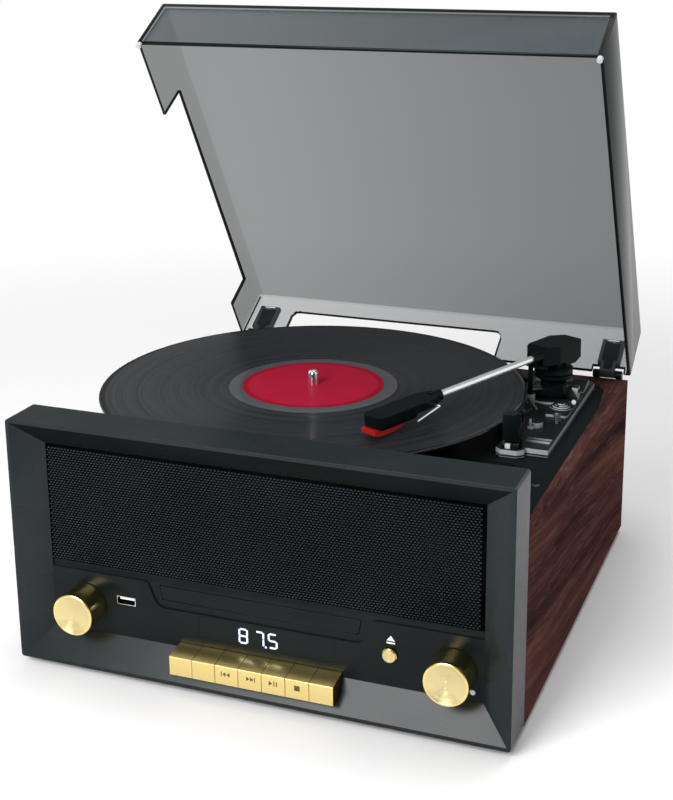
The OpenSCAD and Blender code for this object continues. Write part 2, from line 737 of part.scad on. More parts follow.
module at_spindle() place() translate([spindle_x, spindle_y, 0]) children();
module platter_bearing() color([0.72, 0.58, 0.30]) at_spindle() rotate_extrude() polygon([
    [0, well_z - bearing_l], [bush_r, well_z - bearing_l], [bush_r, well_z], [bearing_r, well_z],
    [bearing_r, well_z + 2], [spindle_r + fit, well_z + 2],
    [spindle_r + fit, well_z - bearing_l + 3 - gap], [0, well_z - bearing_l + 3 - gap]
]);
module spindle() color([0.85, 0.85, 0.87]) at_spindle() rotate_extrude() polygon([
    [0, well_z - bearing_l + 3], [spindle_r, well_z - bearing_l + 3], [spindle_r, spindle_top - 3],
    [spindle_r - 0.5, spindle_top - 1.2], [spindle_r - 1.7, spindle_top - 0.2], [0, spindle_top]
]);
// Platter: a turned disc with a deep rim, a hub on the spindle and the belt's drive ring below it
module platter() color([0.14, 0.14, 0.15]) at_spindle() rotate_extrude($fn = 128) {
    polygon([
        [spindle_r + fit, platter_z0], [10, platter_z0], [10, ring_z1], [ring_r - 2.5, ring_z1],
        [ring_r - 2.5, ring_z0], [ring_r, ring_z0], [ring_r, ring_z1], [platter_r - rim_t, ring_z1],
        [platter_r - rim_t, platter_z0], [platter_r - 0.6, platter_z0], [platter_r, platter_z0 + 0.6],
        [platter_r, platter_z1 - 1.5], [platter_r - 1.5, platter_z1], [spindle_r + fit, platter_z1]
    ]);
}
module slipmat() color([0.09, 0.09, 0.10]) at_spindle() rotate_extrude($fn = 128) polygon([
    [spindle_r + 0.4, platter_z1], [platter_r - 1.5, platter_z1], [platter_r - 1.5, record_z0 - 0.4],
    [platter_r - 1.9, record_z0], [spindle_r + 0.4, record_z0]
]);
// Record: raised label area and edge bead, with the grooved band a little lower
module record() color([0.04, 0.05, 0.05]) at_spindle() rotate_extrude($fn = 128) polygon([
    [spindle_r + fit, record_z0], [record_r - 0.5, record_z0], [record_r, record_z0 + 0.5],
    [record_r, record_z1 - 0.5], [record_r - 0.5, record_z1], [record_r - 3, record_z1],
    [record_r - 4.5, record_z1 - 0.3], [label_r + 9, record_z1 - 0.3], [label_r + 7, record_z1],
    [spindle_r + fit, record_z1]
]);
module record_label() color([0.65, 0.07, 0.18]) at_spindle() translate([0, 0, record_z1]) difference() {
    cylinder(r = label_r, h = label_t);
    translate([0, 0, -eps]) cylinder(r = spindle_r + fit, h = 2 * eps + label_t);
}

// Drive: a motor under the well, its pulley beside the drive ring, and the flat belt round both
module turntable_motor() color([0.62, 0.63, 0.65]) place() translate([motor_x, motor_y, 0]) difference() {
    union() {
        translate([0, 0, well_z - deck_t - motor_h]) cylinder(r = motor_r, h = motor_h - flange_t);
        translate([0, 0, well_z - deck_t - flange_t]) cylinder(r = flange_r, h = flange_t);
    }
    translate([0, 0, well_z - deck_t - motor_h / 2]) cylinder(r = 1 + fit, h = motor_h);
}
module motor_pulley() color([0.80, 0.66, 0.34]) place() translate([motor_x, motor_y, 0])
    rotate_extrude() polygon([
        [0, well_z - deck_t - motor_h / 2 + 1], [1, well_z - deck_t - motor_h / 2 + 1],
        [1, well_z + 1.5], [pulley_r + 1, well_z + 1.5],
        [pulley_r + 1, belt_z0 - 1], [pulley_r, belt_z0 - 0.4], [pulley_r, belt_z0 + belt_h + 0.4],
        [pulley_r + 1, belt_z0 + belt_h + 1], [pulley_r + 1, ring_z1 - 1.5], [0, ring_z1 - 1.5]
    ]);
belt_turn = acos((ring_r - pulley_r) / motor_off);
function on_ring(r, a) = [r * cos(a), r * sin(a)];
module belt_outline(off) {
    ra = ring_r + off;
    rb = pulley_r + off;
    circle(ra, $fn = 128);
    translate([motor_off, 0]) circle(rb);
    polygon([
        on_ring(ra, belt_turn), on_ring(rb, belt_turn) + [motor_off, 0],
        on_ring(rb, -belt_turn) + [motor_off, 0], on_ring(ra, -belt_turn)
    ]);
}
module drive_belt() color([0.05, 0.05, 0.05]) place() translate([spindle_x, spindle_y, belt_z0])
    rotate(atan2(motor_y - spindle_y, motor_x - spindle_x)) linear_extrude(belt_h) difference() {
        belt_outline(belt_t + fit);
        belt_outline(fit);
    }

// Tonearm base: a shallow tray on the deck, with a nose at the front for the rest and the switch
module base_outline(inset) {
    x0 = base_x0 + inset;
    x1 = base_x1 - inset;
    y0 = base_y0 + inset;
    y1 = base_y1 - inset;
    nose_x0 = pivot_x - rest_half - nose_side + inset;
    nose_x1 = pivot_x + rest_half + nose_side - inset;
    nose_y = base_y0 - nose_l + inset;
    polygon([
        [x1, y0], [x1, y1 - 6], [x1 - 8, y1], [x0 + 8, y1], [x0, y1 - 8], [x0, y0 + nose_top],
        [nose_x0, y0 + nose_mid], [nose_x0, nose_y + 4], [nose_x0 + 4, nose_y], [nose_x1 - 4, nose_y],
        [nose_x1, nose_y + 4], [nose_x1, y0]
    ]);
}
module tonearm_base() color([0.09, 0.10, 0.10]) place() difference() {
    union() {
        difference() {
            translate([0, 0, deck_z]) linear_extrude(base_rim) base_outline(0);
            translate([0, 0, plate_z]) linear_extrude(base_rim) base_outline(1.8);
        }
        translate([cue_x, cue_y, deck_z + 1]) cylinder(r = 3.8, h = 8);
        translate([spring_x, spring_y, deck_z + 1]) cylinder(r = 1.2, h = 9);
        for (y = [18, 24]) block(
            [base_x0 + 26, base_y0 + y, deck_z + 1],
            [base_x1 - 3, base_y0 + y + 1.6, plate_z + 3.2 - y / 12]
        );
        translate([pivot_x + 4, base_y0 + 50, deck_z + 1]) cylinder(r = 5, h = 5);
        block([lever_x + 1.8, lever_y - 4, deck_z + 1], [lever_x + 5.8, lever_y + 4, lever_z + 3]);
        base_reliefs();
    }
    translate([pivot_x, pivot_y, plate_z]) cylinder(r = foot_flange + gap, h = 20);
    translate([cue_x, cue_y, plate_z]) cylinder(r = cue_stem_r + fit, h = 20);
    translate([lever_x, lever_y, lever_z]) cyl_x(1.5 + fit, 8);
}
// Raised parts of the base: a ring round the column, a plate with a ribbed dome, a slope and a hooked pin
module base_reliefs() {
    intersection() {
        translate([0, 0, deck_z + 1]) linear_extrude(base_rim) base_outline(1);
        translate([pivot_x, pivot_y, deck_z]) cylinder(r = foot_flange + 6, h = base_floor + 1.6);
    }
    translate([0, 0, deck_z + 1]) linear_extrude(base_floor + 0.8) polygon([
        [dome_x - 5, dome_y - 24], [dome_x + 9, dome_y - 24], [dome_x + 10.5, dome_y - 20],
        [dome_x + 10.5, dome_y + 4], [dome_x - 1, dome_y + 9], [dome_x - 5, dome_y + 5]
    ]);
    translate([dome_x + 2, dome_y - 6, plate_z]) rotate_extrude() polygon([
        [0, 0], [8, 0], [8, 2.4], [6.4, 2.4], [6, 3.2], [4.6, 3.2], [4.2, 4], [2.8, 4], [2.4, 4.8], [0, 4.8]
    ]);
    translate([dome_x - 1, 0, 0]) along_x(11) polygon([
        [dome_y + 30, deck_z + 1], [dome_y + 30, plate_z + 2.4], [dome_y + 48, plate_z + 6],
        [dome_y + 50, plate_z + 5], [dome_y + 50, deck_z + 1]
    ]);
    translate([pivot_x + 2, base_y0 + 44, deck_z + 1]) {
        cylinder(r = 2.4, h = 4);
        rotate([8, 0, 0]) cylinder(r = 0.8, h = 9);
    }
}
module at_pivot() place() translate([pivot_x, pivot_y, 0]) children();
module at_arm() at_pivot() rotate(-arm_turn) children();
module on_arm() at_arm() translate([0, 0, pitch_z]) rotate([arm_slope, 0, 0]) children();

module pivot_column() color([0.12, 0.13, 0.13]) at_pivot() translate([0, 0, plate_z]) {
    top = yoke_z - plate_z;
    rotate_extrude() polygon([
        [0, 0], [foot_flange, 0], [foot_flange, 3.4], [foot_flange - 0.6, 4], [12, 4], [neck_r, 7],
        [neck_r, top - 7], [cap_r, top - 3.5], [cap_r, top - 1.5],
        [5, top - 1.5], [5, top - gap], [3, top - gap], [3, top + 5], [0, top + 5]
    ]);
    // A ramp round the column, which climbs towards the lever
    intersection() {
        rotate_extrude() polygon([
            [foot_flange - 2, 3], [ramp_r, 5], [ramp_r, 20], [foot_flange, 20], [foot_flange - 2, 18]
        ]);
        linear_extrude(20) polygon([
            [0, 0], for (a = [ramp_span[0] : 24 : ramp_span[1]]) on_ring(2 * ramp_r, a)
        ]);
        rotate([0, -18, -14]) translate([-30, -30, -30]) cube([60, 60, 39]);
    }
}
module arm_yoke() color([0.20, 0.21, 0.22]) at_arm() difference() {
    union() {
        translate([0, 0, yoke_z]) cylinder(r = cap_r, h = 3);
        for (s = [-1, 1]) on_side(s) block([yoke_x - 1.8, -4, yoke_z], [yoke_x, 4, pitch_z + 3.2]);
    }
    translate([0, 0, yoke_z - eps]) cylinder(r = 3 + fit, h = 5.3);
    translate([-12, 0, pitch_z]) cyl_x(pitch_r + fit, 24);
}
// Arm block: a chamfered housing over the yoke, with the pitch axle across it and a sleeve on the tube
module arm_block() color([0.10, 0.11, 0.12]) on_arm() {
    difference() {
        union() {
            intersection() {
                translate([block_x0, 0, 0]) along_x(block_x1 - block_x0) polygon([
                    [block_y0, block_z0 + 2], [block_y0, block_z1 - 3], [block_y0 + 4, block_z1],
                    [block_y1, block_z1], [block_y1, block_z0], [block_y1 - 6, block_z0 - block_drop],
                    [4, block_z0 - block_drop], [1, block_z0], [block_y0 + 2, block_z0]
                ]);
                translate([0, 0, block_z0 - 4]) linear_extrude(block_z1 - block_z0 + 5) polygon([
                    [block_x0, block_y0 + 2], [block_x0 + 2, block_y0], [block_x1 - 6, block_y0],
                    [block_x1, block_y0 + 13], [block_x1, block_y1], [block_x0 + 7, block_y1],
                    [block_x0, block_y1 - 9]
                ]);
            }
            translate([0, block_y0 - sleeve_l, 0]) cyl_y(tube_r + sleeve_t, sleeve_l + 1);
        }
        block([-yoke_x - 0.6, -5.5, block_z0 - 4], [yoke_x + 0.6, 14, block_z1 - 1.6]);
        translate([0, block_y0 - sleeve_l - eps, 0]) cyl_y(tube_r + fit, sleeve_l + 9);
    }
    translate([block_x0 + 2, 0, 0]) cyl_x(pitch_r, block_x1 - block_x0 - 2.5);
}
module arm_tube() color([0.80, 0.81, 0.83]) on_arm() translate([0, -shell_at - 3, 0])
    cyl_y(tube_r, shell_at + 3 + block_y0 + 8);

// Headshell: a collar on the tube and a flat tapered body, with the cartridge under it
module headshell() color([0.08, 0.09, 0.09]) on_arm() translate([0, -shell_at, 0]) difference() {
    union() {
        translate([0, -6, 0]) cyl_y(tube_r + 1.4, 9);
        translate([0, 0, -2.6]) linear_extrude(5.6) polygon([
            [-4, 0], [4, 0], [shell_w / 2, -10], [shell_w / 2, 4 - shell_l], [shell_w / 2 - 3, -shell_l],
            [3 - shell_w / 2, -shell_l], [-shell_w / 2, 4 - shell_l], [-shell_w / 2, -10]
        ]);
    }
    translate([0, -4, 0]) cyl_y(tube_r + fit, 12);
    block([-shell_w / 2 + 2, 16 - shell_l, -3], [shell_w / 2 - 2, 44 - shell_l, 1]);
}
module cartridge() color([0.10, 0.10, 0.11]) on_arm() translate([0, -shell_at, 0])
    translate([-cart_w / 2, 0, 0]) along_x(cart_w) polygon([
        [38 - shell_l, 1], [16.5 - shell_l, 1], [16.5 - shell_l, -2.6], [-shell_l + 1, -2.6],
        [-shell_l + 1, -5], [-shell_l + 4, -6.6],
        [36 - shell_l, -6.6], [38 - shell_l, -3]
    ]);
module stylus() color([0.70, 0.08, 0.06]) on_arm() translate([0, -shell_at, 0]) {
    translate([-cart_w / 2, 0, 0]) along_x(cart_w) polygon([
        [24 - shell_l, -6.6], [-shell_l + 4, -6.6], [-shell_l + 1, -5], [-shell_l - 2.5, -5.2],
        [-shell_l - 2, -8.4], [-shell_l + 2, -tip_drop + 1.2],
        [14 - shell_l, -tip_drop + 1.2], [23 - shell_l, -8.2]
    ]);
    translate([0, shell_at - arm_len, -tip_drop]) cylinder(r1 = 0.25, r2 = 0.8, h = 1.6);
}
module finger_lift() color([0.80, 0.81, 0.82]) on_arm() translate([shell_w / 2, -shell_at - 15, -0.4]) {
    translate([0, 0, -0.6]) cube([5.5, 4, 1.2]);
    translate([5.5, 2, 0]) sphere(1.3);
    translate([5.5, 2, 0]) rotate([94, 0, 11]) cylinder(r = 0.9, h = 26);
}

// Cue lever on its bracket, and the curved platform that it raises under the arm
module cue_lever() color([0.13, 0.14, 0.14]) place() translate([lever_x, lever_y, lever_z]) {
    translate([-1.5, 0, 0]) cyl_x(1.5, 8);
    translate([-1.5, 0, 0]) cyl_x(3.2, 3);
    intersection() {
        translate([-2, 0, 0]) along_x(14) polygon([
            [0, -3], [0, 3], [-19, 2.2], [-24, 2.4], [-26, 1.6], [-26, -1.6], [-24, -2.4], [-19, -1.4]
        ]);
        translate([0, 0, -5]) linear_extrude(10) polygon([
            [-1.5, 0], [1.5, 0], [1.5, -5.5], [9.6, -22], [9.6, -26], [6.4, -26], [-1.5, -8]
        ]);
    }
}
module cue_platform() color([0.16, 0.17, 0.18]) at_pivot() {
    intersection() {
        translate([0, 0, cue_top - cue_t]) rotate_extrude()
            translate([cue_r - cue_wide / 2, 0]) square([cue_wide, cue_t]);
        translate([0, 0, cue_top - 3]) linear_extrude(4) polygon([
            [0, 0], for (a = [cue_span[0], cue_mid, cue_span[1]]) on_ring(2 * cue_r, a)
        ]);
    }
    translate([cue_x - pivot_x, cue_y - pivot_y, plate_z + 1])
        cylinder(r = cue_stem_r, h = cue_top - plate_z - 2);
}

// Arm rest: a notched post, and the clip that folds over the parked tube
module at_rest_post() place() translate([pivot_x, pivot_y - rest_r, 0]) children();
module arm_rest() color([0.10, 0.11, 0.11]) at_rest_post() difference() {
    block([-rest_half, -rest_half, plate_z], [rest_half + rest_side, rest_half, rest_top + 1.5]);
    block([-rest_half - 1, -rest_half - 1, rest_top], [tube_r + 0.8, rest_half + 1, rest_top + 8]);
    block([-rest_half - 1, -rest_half - 1, plate_z - 1], [rest_half + 3, 0.5, plate_z + 7]);
    block([clip_x - 1.4, -2.2, clip_z - 4], [rest_half + 3, 2.2, rest_top + 8]);
    block([rest_half, -rest_half - 1, plate_z - 1], [rest_half + 3, rest_half + 1, clip_z - 6]);
    translate([clip_x, -3.6, clip_z]) cyl_y(clip_r + fit, 7.2);
}
module arm_clip() color([0.22, 0.23, 0.24]) at_rest_post() translate([clip_x, 0, clip_z])
    rotate([0, clip_open, 0]) {
        translate([0, -3.5, 0]) cyl_y(clip_r, 7);
        translate([0, 1.8, 0]) rotate([90, 0, 0]) linear_extrude(3.6) polygon([
            [0.8, -0.7], [1.1, 0.5], [1.1, 12.2], [-7.6, 12.2], [-8.4, 10.6], [-7.4, 10],
            [-6.4, 10.4], [-1.1, 10.4], [-1.1, 0.5], [-0.8, -0.7]
        ]);
    }

// Speed switch: a small knob with a bright pointer
module speed_switch() color([0.75, 0.76, 0.78]) place() translate([switch_x, switch_y, plate_z + gap]) {
    rotate_extrude() polygon([[0, 0], [2.6, 0], [2.6, 4.6], [2, 5.2], [0, 5.2]]);
    translate([-6.5, -1.3, 0.8]) cube([6.5, 2.6, 3.4]);
}

// Return spring: one unbroken coil of wire round its post
coil_r = 2.5;
wire_r = 0.35;
coil_pitch = 1.3;
coil_turns = 5;
coil_rings = 8;
coil_sides = 6;
function coil_point(t) = [coil_r * cos(360 * t), coil_r * sin(360 * t), wire_r + gap + coil_pitch * t];
function coil_ring(t) = [for (k = [0 : coil_sides - 1]) let (b = 360 * k / coil_sides) coil_point(t) + [
    wire_r * cos(b) * cos(360 * t), wire_r * cos(b) * sin(360 * t), wire_r * sin(b)
]];
coil_gap = min([
    for (i = [0 : coil_rings * coil_turns]) for (j = [i + coil_rings / 2 : coil_rings * coil_turns])
        norm(coil_point(i / coil_rings) - coil_point(j / coil_rings))
]) - 2 * wire_r;
module return_spring() color([0.30, 0.31, 0.33]) place() translate([spring_x, spring_y, plate_z]) {
    n = coil_rings * coil_turns;
    echo(coil_gap = coil_gap);
    polyhedron(
        points = [for (i = [0 : n]) each coil_ring(i / coil_rings)],
        faces = concat(
            [[for (k = [0 : coil_sides - 1]) k], [for (k = [coil_sides - 1 : -1 : 0]) n * coil_sides + k]],
            [for (i = [0 : n - 1]) for (k = [0 : coil_sides - 1]) let (
                a = i * coil_sides + k,
                b = i * coil_sides + (k + 1) % coil_sides
            ) each [[a, a + coil_sides, b + coil_sides], [a, b + coil_sides, b]]]
        )
    );
}

// Lid: a five-sided shell in the hinge's frame, shut, and then turned up to its open angle
module on_lid() place() translate([0, hinge_y, hinge_h]) rotate([-lid_open, 0, 0]) children();
lid_x0 = lid_off - lid_w / 2;
lid_x1 = lid_off + lid_w / 2;
module lid() color([0.45, 0.47, 0.48, 0.6]) on_lid() difference() {
    translate([lid_x0, -lid_len, 0]) cube([lid_w, lid_len, lid_h]);
    translate([lid_x0 + lid_t, -lid_len + lid_t, -eps])
        cube([lid_w - 2 * lid_t, lid_len - 2 * lid_t, lid_h - lid_t + eps]);
    block([lid_x0 - eps, -notch_y1, -eps], [lid_x0 + lid_t + eps, -notch_y0, lid_h - skirt_low]);
    translate([0, -lid_t - eps, 0]) to_back(lid_t + 2 * eps) {
        rounded(cut_x0, -20, cut_x1, lid_h - skirt_low + 2, cut_r);
        for (s = [-1, 1]) square_hole(lid_off + s * hinge_x, 0, 2 * ear_t + knuckle_w + 2, 2 * notch_r);
    }
}
module lid_bumpers() color([0.85, 0.86, 0.86]) on_lid()
    for (x = [lid_x0 + bumper_r, lid_x1 - bumper_r])
        translate([x, -lid_len + bumper_r, -hinge_z + gap]) cylinder(r = bumper_r, h = hinge_z - gap);

module hinge_leaves() color([0.10, 0.11, 0.12]) on_lid()
    for (s = [-1, 1]) translate([lid_off + s * hinge_x, 0, 0])
    difference() {
        union() {
            translate([-leaf_w / 2, -lid_t - leaf_t, notch_r + 0.5]) cube([leaf_w, leaf_t, leaf_l]);
            translate([-knuckle_w / 2, -lid_t - leaf_t, -knuckle_r])
                cube([knuckle_w, leaf_t, notch_r + knuckle_r + 2]);
            translate([-knuckle_w / 2, 0, 0]) cyl_x(knuckle_r, knuckle_w);
            translate([-knuckle_w / 2, -lid_t - leaf_t, -knuckle_r])
                cube([knuckle_w, lid_t + leaf_t, knuckle_r]);
        }
        translate([-knuckle_w / 2 - eps, 0, 0]) cyl_x(pin_r + fit, knuckle_w + 2 * eps);
    }
module hinge_brackets() color([0.10, 0.11, 0.12]) place()
    for (s = [-1, 1]) translate([lid_off + s * hinge_x, hinge_y, hinge_h]) difference() {
        union() {
            for (e = [-1, 1]) on_side(e) {
                translate([knuckle_w / 2 + gap, 0, 0]) cyl_x(knuckle_r, ear_t);
                block([knuckle_w / 2 + gap, 0, -hinge_z - 6], [knuckle_w / 2 + gap + ear_t, bracket_t, 0]);
            }
            block(
                [-knuckle_w / 2 - gap - ear_t, 0, -hinge_z - 28],
                [knuckle_w / 2 + gap + ear_t, bracket_t, -hinge_z - 4]
            );
        }
        translate([-20, 0, 0]) cyl_x(pin_r + fit, 40);
    }
module hinge_pins() color([0.75, 0.76, 0.78]) place() for (s = [-1, 1])
    translate([lid_off + s * hinge_x - knuckle_w / 2 - gap - ear_t, hinge_y, hinge_h])
        cyl_x(pin_r, knuckle_w + 2 * (gap + ear_t));

cabinet();
bottom_panel();
rubber_feet();
front_bezel();
control_panel();
speaker_grille();
display_window();
usb_socket();
baffle_board();
speakers();
front_board();
rotary_controls();
tuning_knob();
tuning_shaft();
volume_knob();
volume_shaft();
eject_button();
key_1();
key_2();
key_3();
key_4();
key_5();
key_6();
key_7();
cd_chassis();
cd_tray();
cd_drawer_front();
main_board();
socket_plate();
turntable_deck();
deck_screws();
platter_bearing();
platter();
spindle();
slipmat();
record();
record_label();
turntable_motor();
motor_pulley();
drive_belt();
tonearm_base();
pivot_column();
arm_yoke();
arm_block();
arm_tube();
headshell();
cartridge();
stylus();
finger_lift();
cue_lever();
cue_platform();
arm_rest();
arm_clip();
speed_switch();
return_spring();
lid();
lid_bumpers();
hinge_leaves();
hinge_brackets();
hinge_pins();
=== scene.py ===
"""Looks of the compact music centre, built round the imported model."""
import json
import math

import bpy
from mathutils import Matrix, Vector


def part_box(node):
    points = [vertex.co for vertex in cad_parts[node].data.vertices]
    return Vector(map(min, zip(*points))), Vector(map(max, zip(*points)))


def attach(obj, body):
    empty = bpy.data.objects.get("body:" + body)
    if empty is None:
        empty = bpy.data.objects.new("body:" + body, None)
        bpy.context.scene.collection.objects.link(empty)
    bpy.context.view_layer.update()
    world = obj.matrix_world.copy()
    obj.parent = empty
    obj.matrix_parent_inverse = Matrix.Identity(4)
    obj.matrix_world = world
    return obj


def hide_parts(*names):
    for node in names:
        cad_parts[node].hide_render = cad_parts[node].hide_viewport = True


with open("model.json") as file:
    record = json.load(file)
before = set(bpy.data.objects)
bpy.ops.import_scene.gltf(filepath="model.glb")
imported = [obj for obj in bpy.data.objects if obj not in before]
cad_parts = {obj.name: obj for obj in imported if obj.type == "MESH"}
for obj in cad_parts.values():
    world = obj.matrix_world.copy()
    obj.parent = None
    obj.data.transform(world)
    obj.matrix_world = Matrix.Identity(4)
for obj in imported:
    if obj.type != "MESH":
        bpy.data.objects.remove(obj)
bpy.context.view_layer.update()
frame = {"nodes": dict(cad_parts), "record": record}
record = frame["record"]
body_of = {node: body for body, nodes in record["behaviour"]["bodies"].items() for node in nodes}
MM = 0.001
BEZEL_MIDDLE, BEZEL_FACE = -11, 184


def place(x, y, z):
    """A point in millimetres from the middle of the bezel's face and the floor, in the model's metres."""
    return Vector(((x - BEZEL_MIDDLE) * MM, (y - BEZEL_FACE) * MM, z * MM))


# Places that several pieces share, in millimetres unless they come from place()

LID_OPEN = math.radians(58.8)
HINGE = place(0, 335, 127.9)
SPINDLE_X, SPINDLE_Y, RECORD_UNDERSIDE = -36, 192, 142
TUNING_X, VOLUME_X, KNOB_Z, KNOB_FACE = -119, 125.5, 44.3, -6.5
MIDDLE_KEY_X, KEY_PITCH, KEY_FACE, KEY_Z = 0.9, 15.55, -3.02, 21.6
PANEL_FACE = 12.44
POINTER_X = 118.7


# Camera, at the photograph's viewing angle

def aim_camera():
    """The camera that was fitted to the photograph; focal, centre_x and centre_y are in its pixels."""
    wide, high, sensor = 673, 800, 36
    spot, focal, centre_x, centre_y = (0.35024, -0.89014, 0.46891), 1435.5, 360.9, 303.0
    turn, tilt, roll = math.radians(20.66), math.radians(15.25), -0.005
    ahead = Vector((-math.sin(turn) * math.cos(tilt), math.cos(turn) * math.cos(tilt), -math.sin(tilt)))
    across = Vector((math.cos(turn), math.sin(turn), 0))
    upward = across.cross(ahead)
    right = across * math.cos(roll) + upward * math.sin(roll)
    up = upward * math.cos(roll) - across * math.sin(roll)
    bpy.ops.object.camera_add()
    camera = bpy.context.object
    camera.name = "photo_camera"
    rows = [(right[i], up[i], -ahead[i], spot[i]) for i in range(3)]
    camera.matrix_world = Matrix(rows + [(0, 0, 0, 1)])
    camera.data.lens = sensor * focal / high
    camera.data.shift_x = (wide / 2 - centre_x) / high
    camera.data.shift_y = (centre_y - high / 2) / high
    camera.data.clip_start = 0.01
    bpy.context.scene.camera = camera


# Finishes

class Value:
    """A number or colour on its way through a finish's nodes."""

    def __init__(self, graph, socket):
        self.graph, self.socket = graph, socket

    def _sum(self, operation, first, second):
        return self.graph.add("ShaderNodeMath", {"operation": operation}, {0: first, 1: second})

    def __add__(self, other):
        return self._sum("ADD", self, other)

    def __mul__(self, other):
        return self._sum("MULTIPLY", self, other)

    def __sub__(self, other):
        return self._sum("SUBTRACT", self, other)

    def __rsub__(self, other):
        return self._sum("SUBTRACT", other, self)

    def __pow__(self, other):
        return self._sum("POWER", self, other)

    __radd__, __rmul__ = __add__, __mul__

    def above(self, low, high):
        """0 below low, 1 above high and a smooth step between them."""
        return self.graph.add(
            "ShaderNodeMapRange", {"interpolation_type": "SMOOTHSTEP"},
            {"Value": self, "From Min": low, "From Max": high})

    def past(self, distance, edge=0.4):
        """0 before a distance and 1 after it, over an edge of some width, all in millimetres."""
        return self.above(distance * MM, (distance + edge) * MM)

    def short_of(self, distance, edge=0.4):
        """1 before a distance and 0 after it, over an edge of some width, all in millimetres."""
        return (self * -1.0).past(-distance, edge)


class Graph:
    """A node tree, and the way a node goes into it."""

    def __init__(self, tree):
        self.tree = tree

    def add(self, kind, settings, sockets, out=0):
        """Adds a node with its settings, feeds its sockets and gives one of its outputs."""
        node = self.tree.nodes.new(kind)
        for key, setting in settings.items():
            if key == "stops":
                ramp = node.color_ramp.elements
                while len(ramp) < len(setting):
                    ramp.new(0.5)
                for element, (position, color) in zip(ramp, setting):
                    element.position, element.color = position, (*color, 1)
            else:
                setattr(node, key, setting)
        self.feed(node, sockets)
        return Value(self, node.outputs[out])

    def feed(self, node, sockets):
        for key, value in sockets.items():
            if isinstance(value, Value):
                self.tree.links.new(value.socket, node.inputs[key])
            else:
                node.inputs[key].default_value = value

    def split(self, vector):
        """The X, Y and Z of a vector."""
        parts = self.add("ShaderNodeSeparateXYZ", {}, {"Vector": vector})
        return [Value(self, output) for output in parts.socket.node.outputs]

    def vector(self, operation, sockets):
        return self.add("ShaderNodeVectorMath", {"operation": operation}, sockets)


class Finish(Graph):
    """A material with one Principled shader and the nodes that feed it."""

    def __init__(self, name, **inputs):
        self.material = bpy.data.materials.new(name)
        self.material.use_nodes = True
        super().__init__(self.material.node_tree)
        self.shader = self.tree.nodes["Principled BSDF"]
        self.set(**inputs)

    def set(self, **inputs):
        """Sets the shader's sockets: base_color is Base Color, and a plain colour gets its alpha."""
        sockets = {}
        for key, value in inputs.items():
            if isinstance(value, tuple):
                value = (*value, 1)
            sockets[key.replace("_", " ").title().replace("Ior", "IOR")] = value
        self.feed(self.shader, sockets)
        return self

    def where(self, stretch=(1, 1, 1), centre=(0, 0, 0)):
        """Object coordinates, centred and stretched."""
        spot = self.add("ShaderNodeTexCoord", {}, {}, 3)
        moved = self.vector("SUBTRACT", {0: spot, 1: tuple(centre)})
        return self.add("ShaderNodeMapping", {"vector_type": "POINT"}, {"Vector": moved, "Scale": stretch})

    def noise(self, scale, stretch=(1, 1, 1), detail=3.0):
        return self.add("ShaderNodeTexNoise", {}, {
            "Vector": self.where(stretch), "Scale": scale, "Detail": detail})

    def facing(self):
        """The X, Y and Z of the surface's own direction."""
        return self.split(self.add("ShaderNodeNewGeometry", {}, {}, 1))

    def radius(self, centre, axis):
        """Distance from a line through centre along y or z."""
        x, y, z = self.split(self.where(centre=centre))
        other = {"y": z, "z": y}[axis]
        return (x * x + other * other) ** 0.5

    def away(self, centre, axis):
        """The direction straight away from a line through centre along y or z."""
        flat = {"y": (1, 0, 1), "z": (1, 1, 0)}[axis]
        spot = self.vector("MULTIPLY", {0: self.where(centre=centre), 1: flat})
        return self.vector("NORMALIZE", {0: spot})

    def ramp(self, value, *stops):
        return self.add("ShaderNodeValToRGB", {"stops": stops}, {"Fac": value})

    def mix(self, factor, first, second):
        colors = [value if isinstance(value, Value) else (*value, 1) for value in (first, second)]
        return self.add("ShaderNodeMix", {"data_type": "RGBA"}, {0: factor, 6: colors[0], 7: colors[1]}, 2)

    def rings(self, distance, scale, detail=1.0):
        """A noise that changes with one distance alone, from -0.5 to 0.5."""
        return self.add("ShaderNodeTexNoise", {"noise_dimensions": "1D"}, {
            "W": distance, "Scale": scale, "Detail": detail}) - 0.5

    def ridged(self, *leans):
        """Turned ridges too fine to model: the surface leans along each direction by its amount."""
        normal = self.add("ShaderNodeNewGeometry", {}, {}, 1)
        for direction, amount in leans:
            lean = self.vector("SCALE", {0: direction, "Scale": amount})
            world = self.add("ShaderNodeVectorTransform", {
                "vector_type": "VECTOR", "convert_from": "OBJECT", "convert_to": "WORLD"}, {"Vector": lean})
            normal = self.vector("ADD", {0: normal, 1: world})
        return self.set(normal=self.vector("NORMALIZE", {0: normal}))

    def bump(self, height, distance, strength):
        return self.set(normal=self.add("ShaderNodeBump", {}, {
            "Height": height, "Distance": distance, "Strength": strength}))


def moulded(name, color, roughness, grain=0.35, shine=0.25):
    """Moulded or painted plastic: a fine skin texture and slightly uneven gloss."""
    finish = Finish(name, specular_ior_level=shine)
    cloud = finish.noise(22, detail=2)
    finish.set(roughness=cloud * 0.1 + (roughness - 0.05))
    lighter = tuple(channel * 1.12 + 0.001 for channel in color)
    finish.set(base_color=finish.mix(cloud.above(0.35, 0.7), color, lighter))
    return finish.bump(finish.noise(2600, detail=1), 0.00004, grain)


def metal(name, color, roughness):
    """Bare or plated metal with faint fine scratches."""
    finish = Finish(name, metallic=1.0)
    scratches = finish.noise(2200, (1, 0.2, 1), detail=2)
    finish.set(roughness=scratches * 0.08 + (roughness - 0.04))
    darker = tuple(channel * 0.93 for channel in color)
    finish.set(base_color=finish.mix(scratches.above(0.35, 0.65), darker, color))
    return finish.bump(scratches, 0.00001, 0.1)


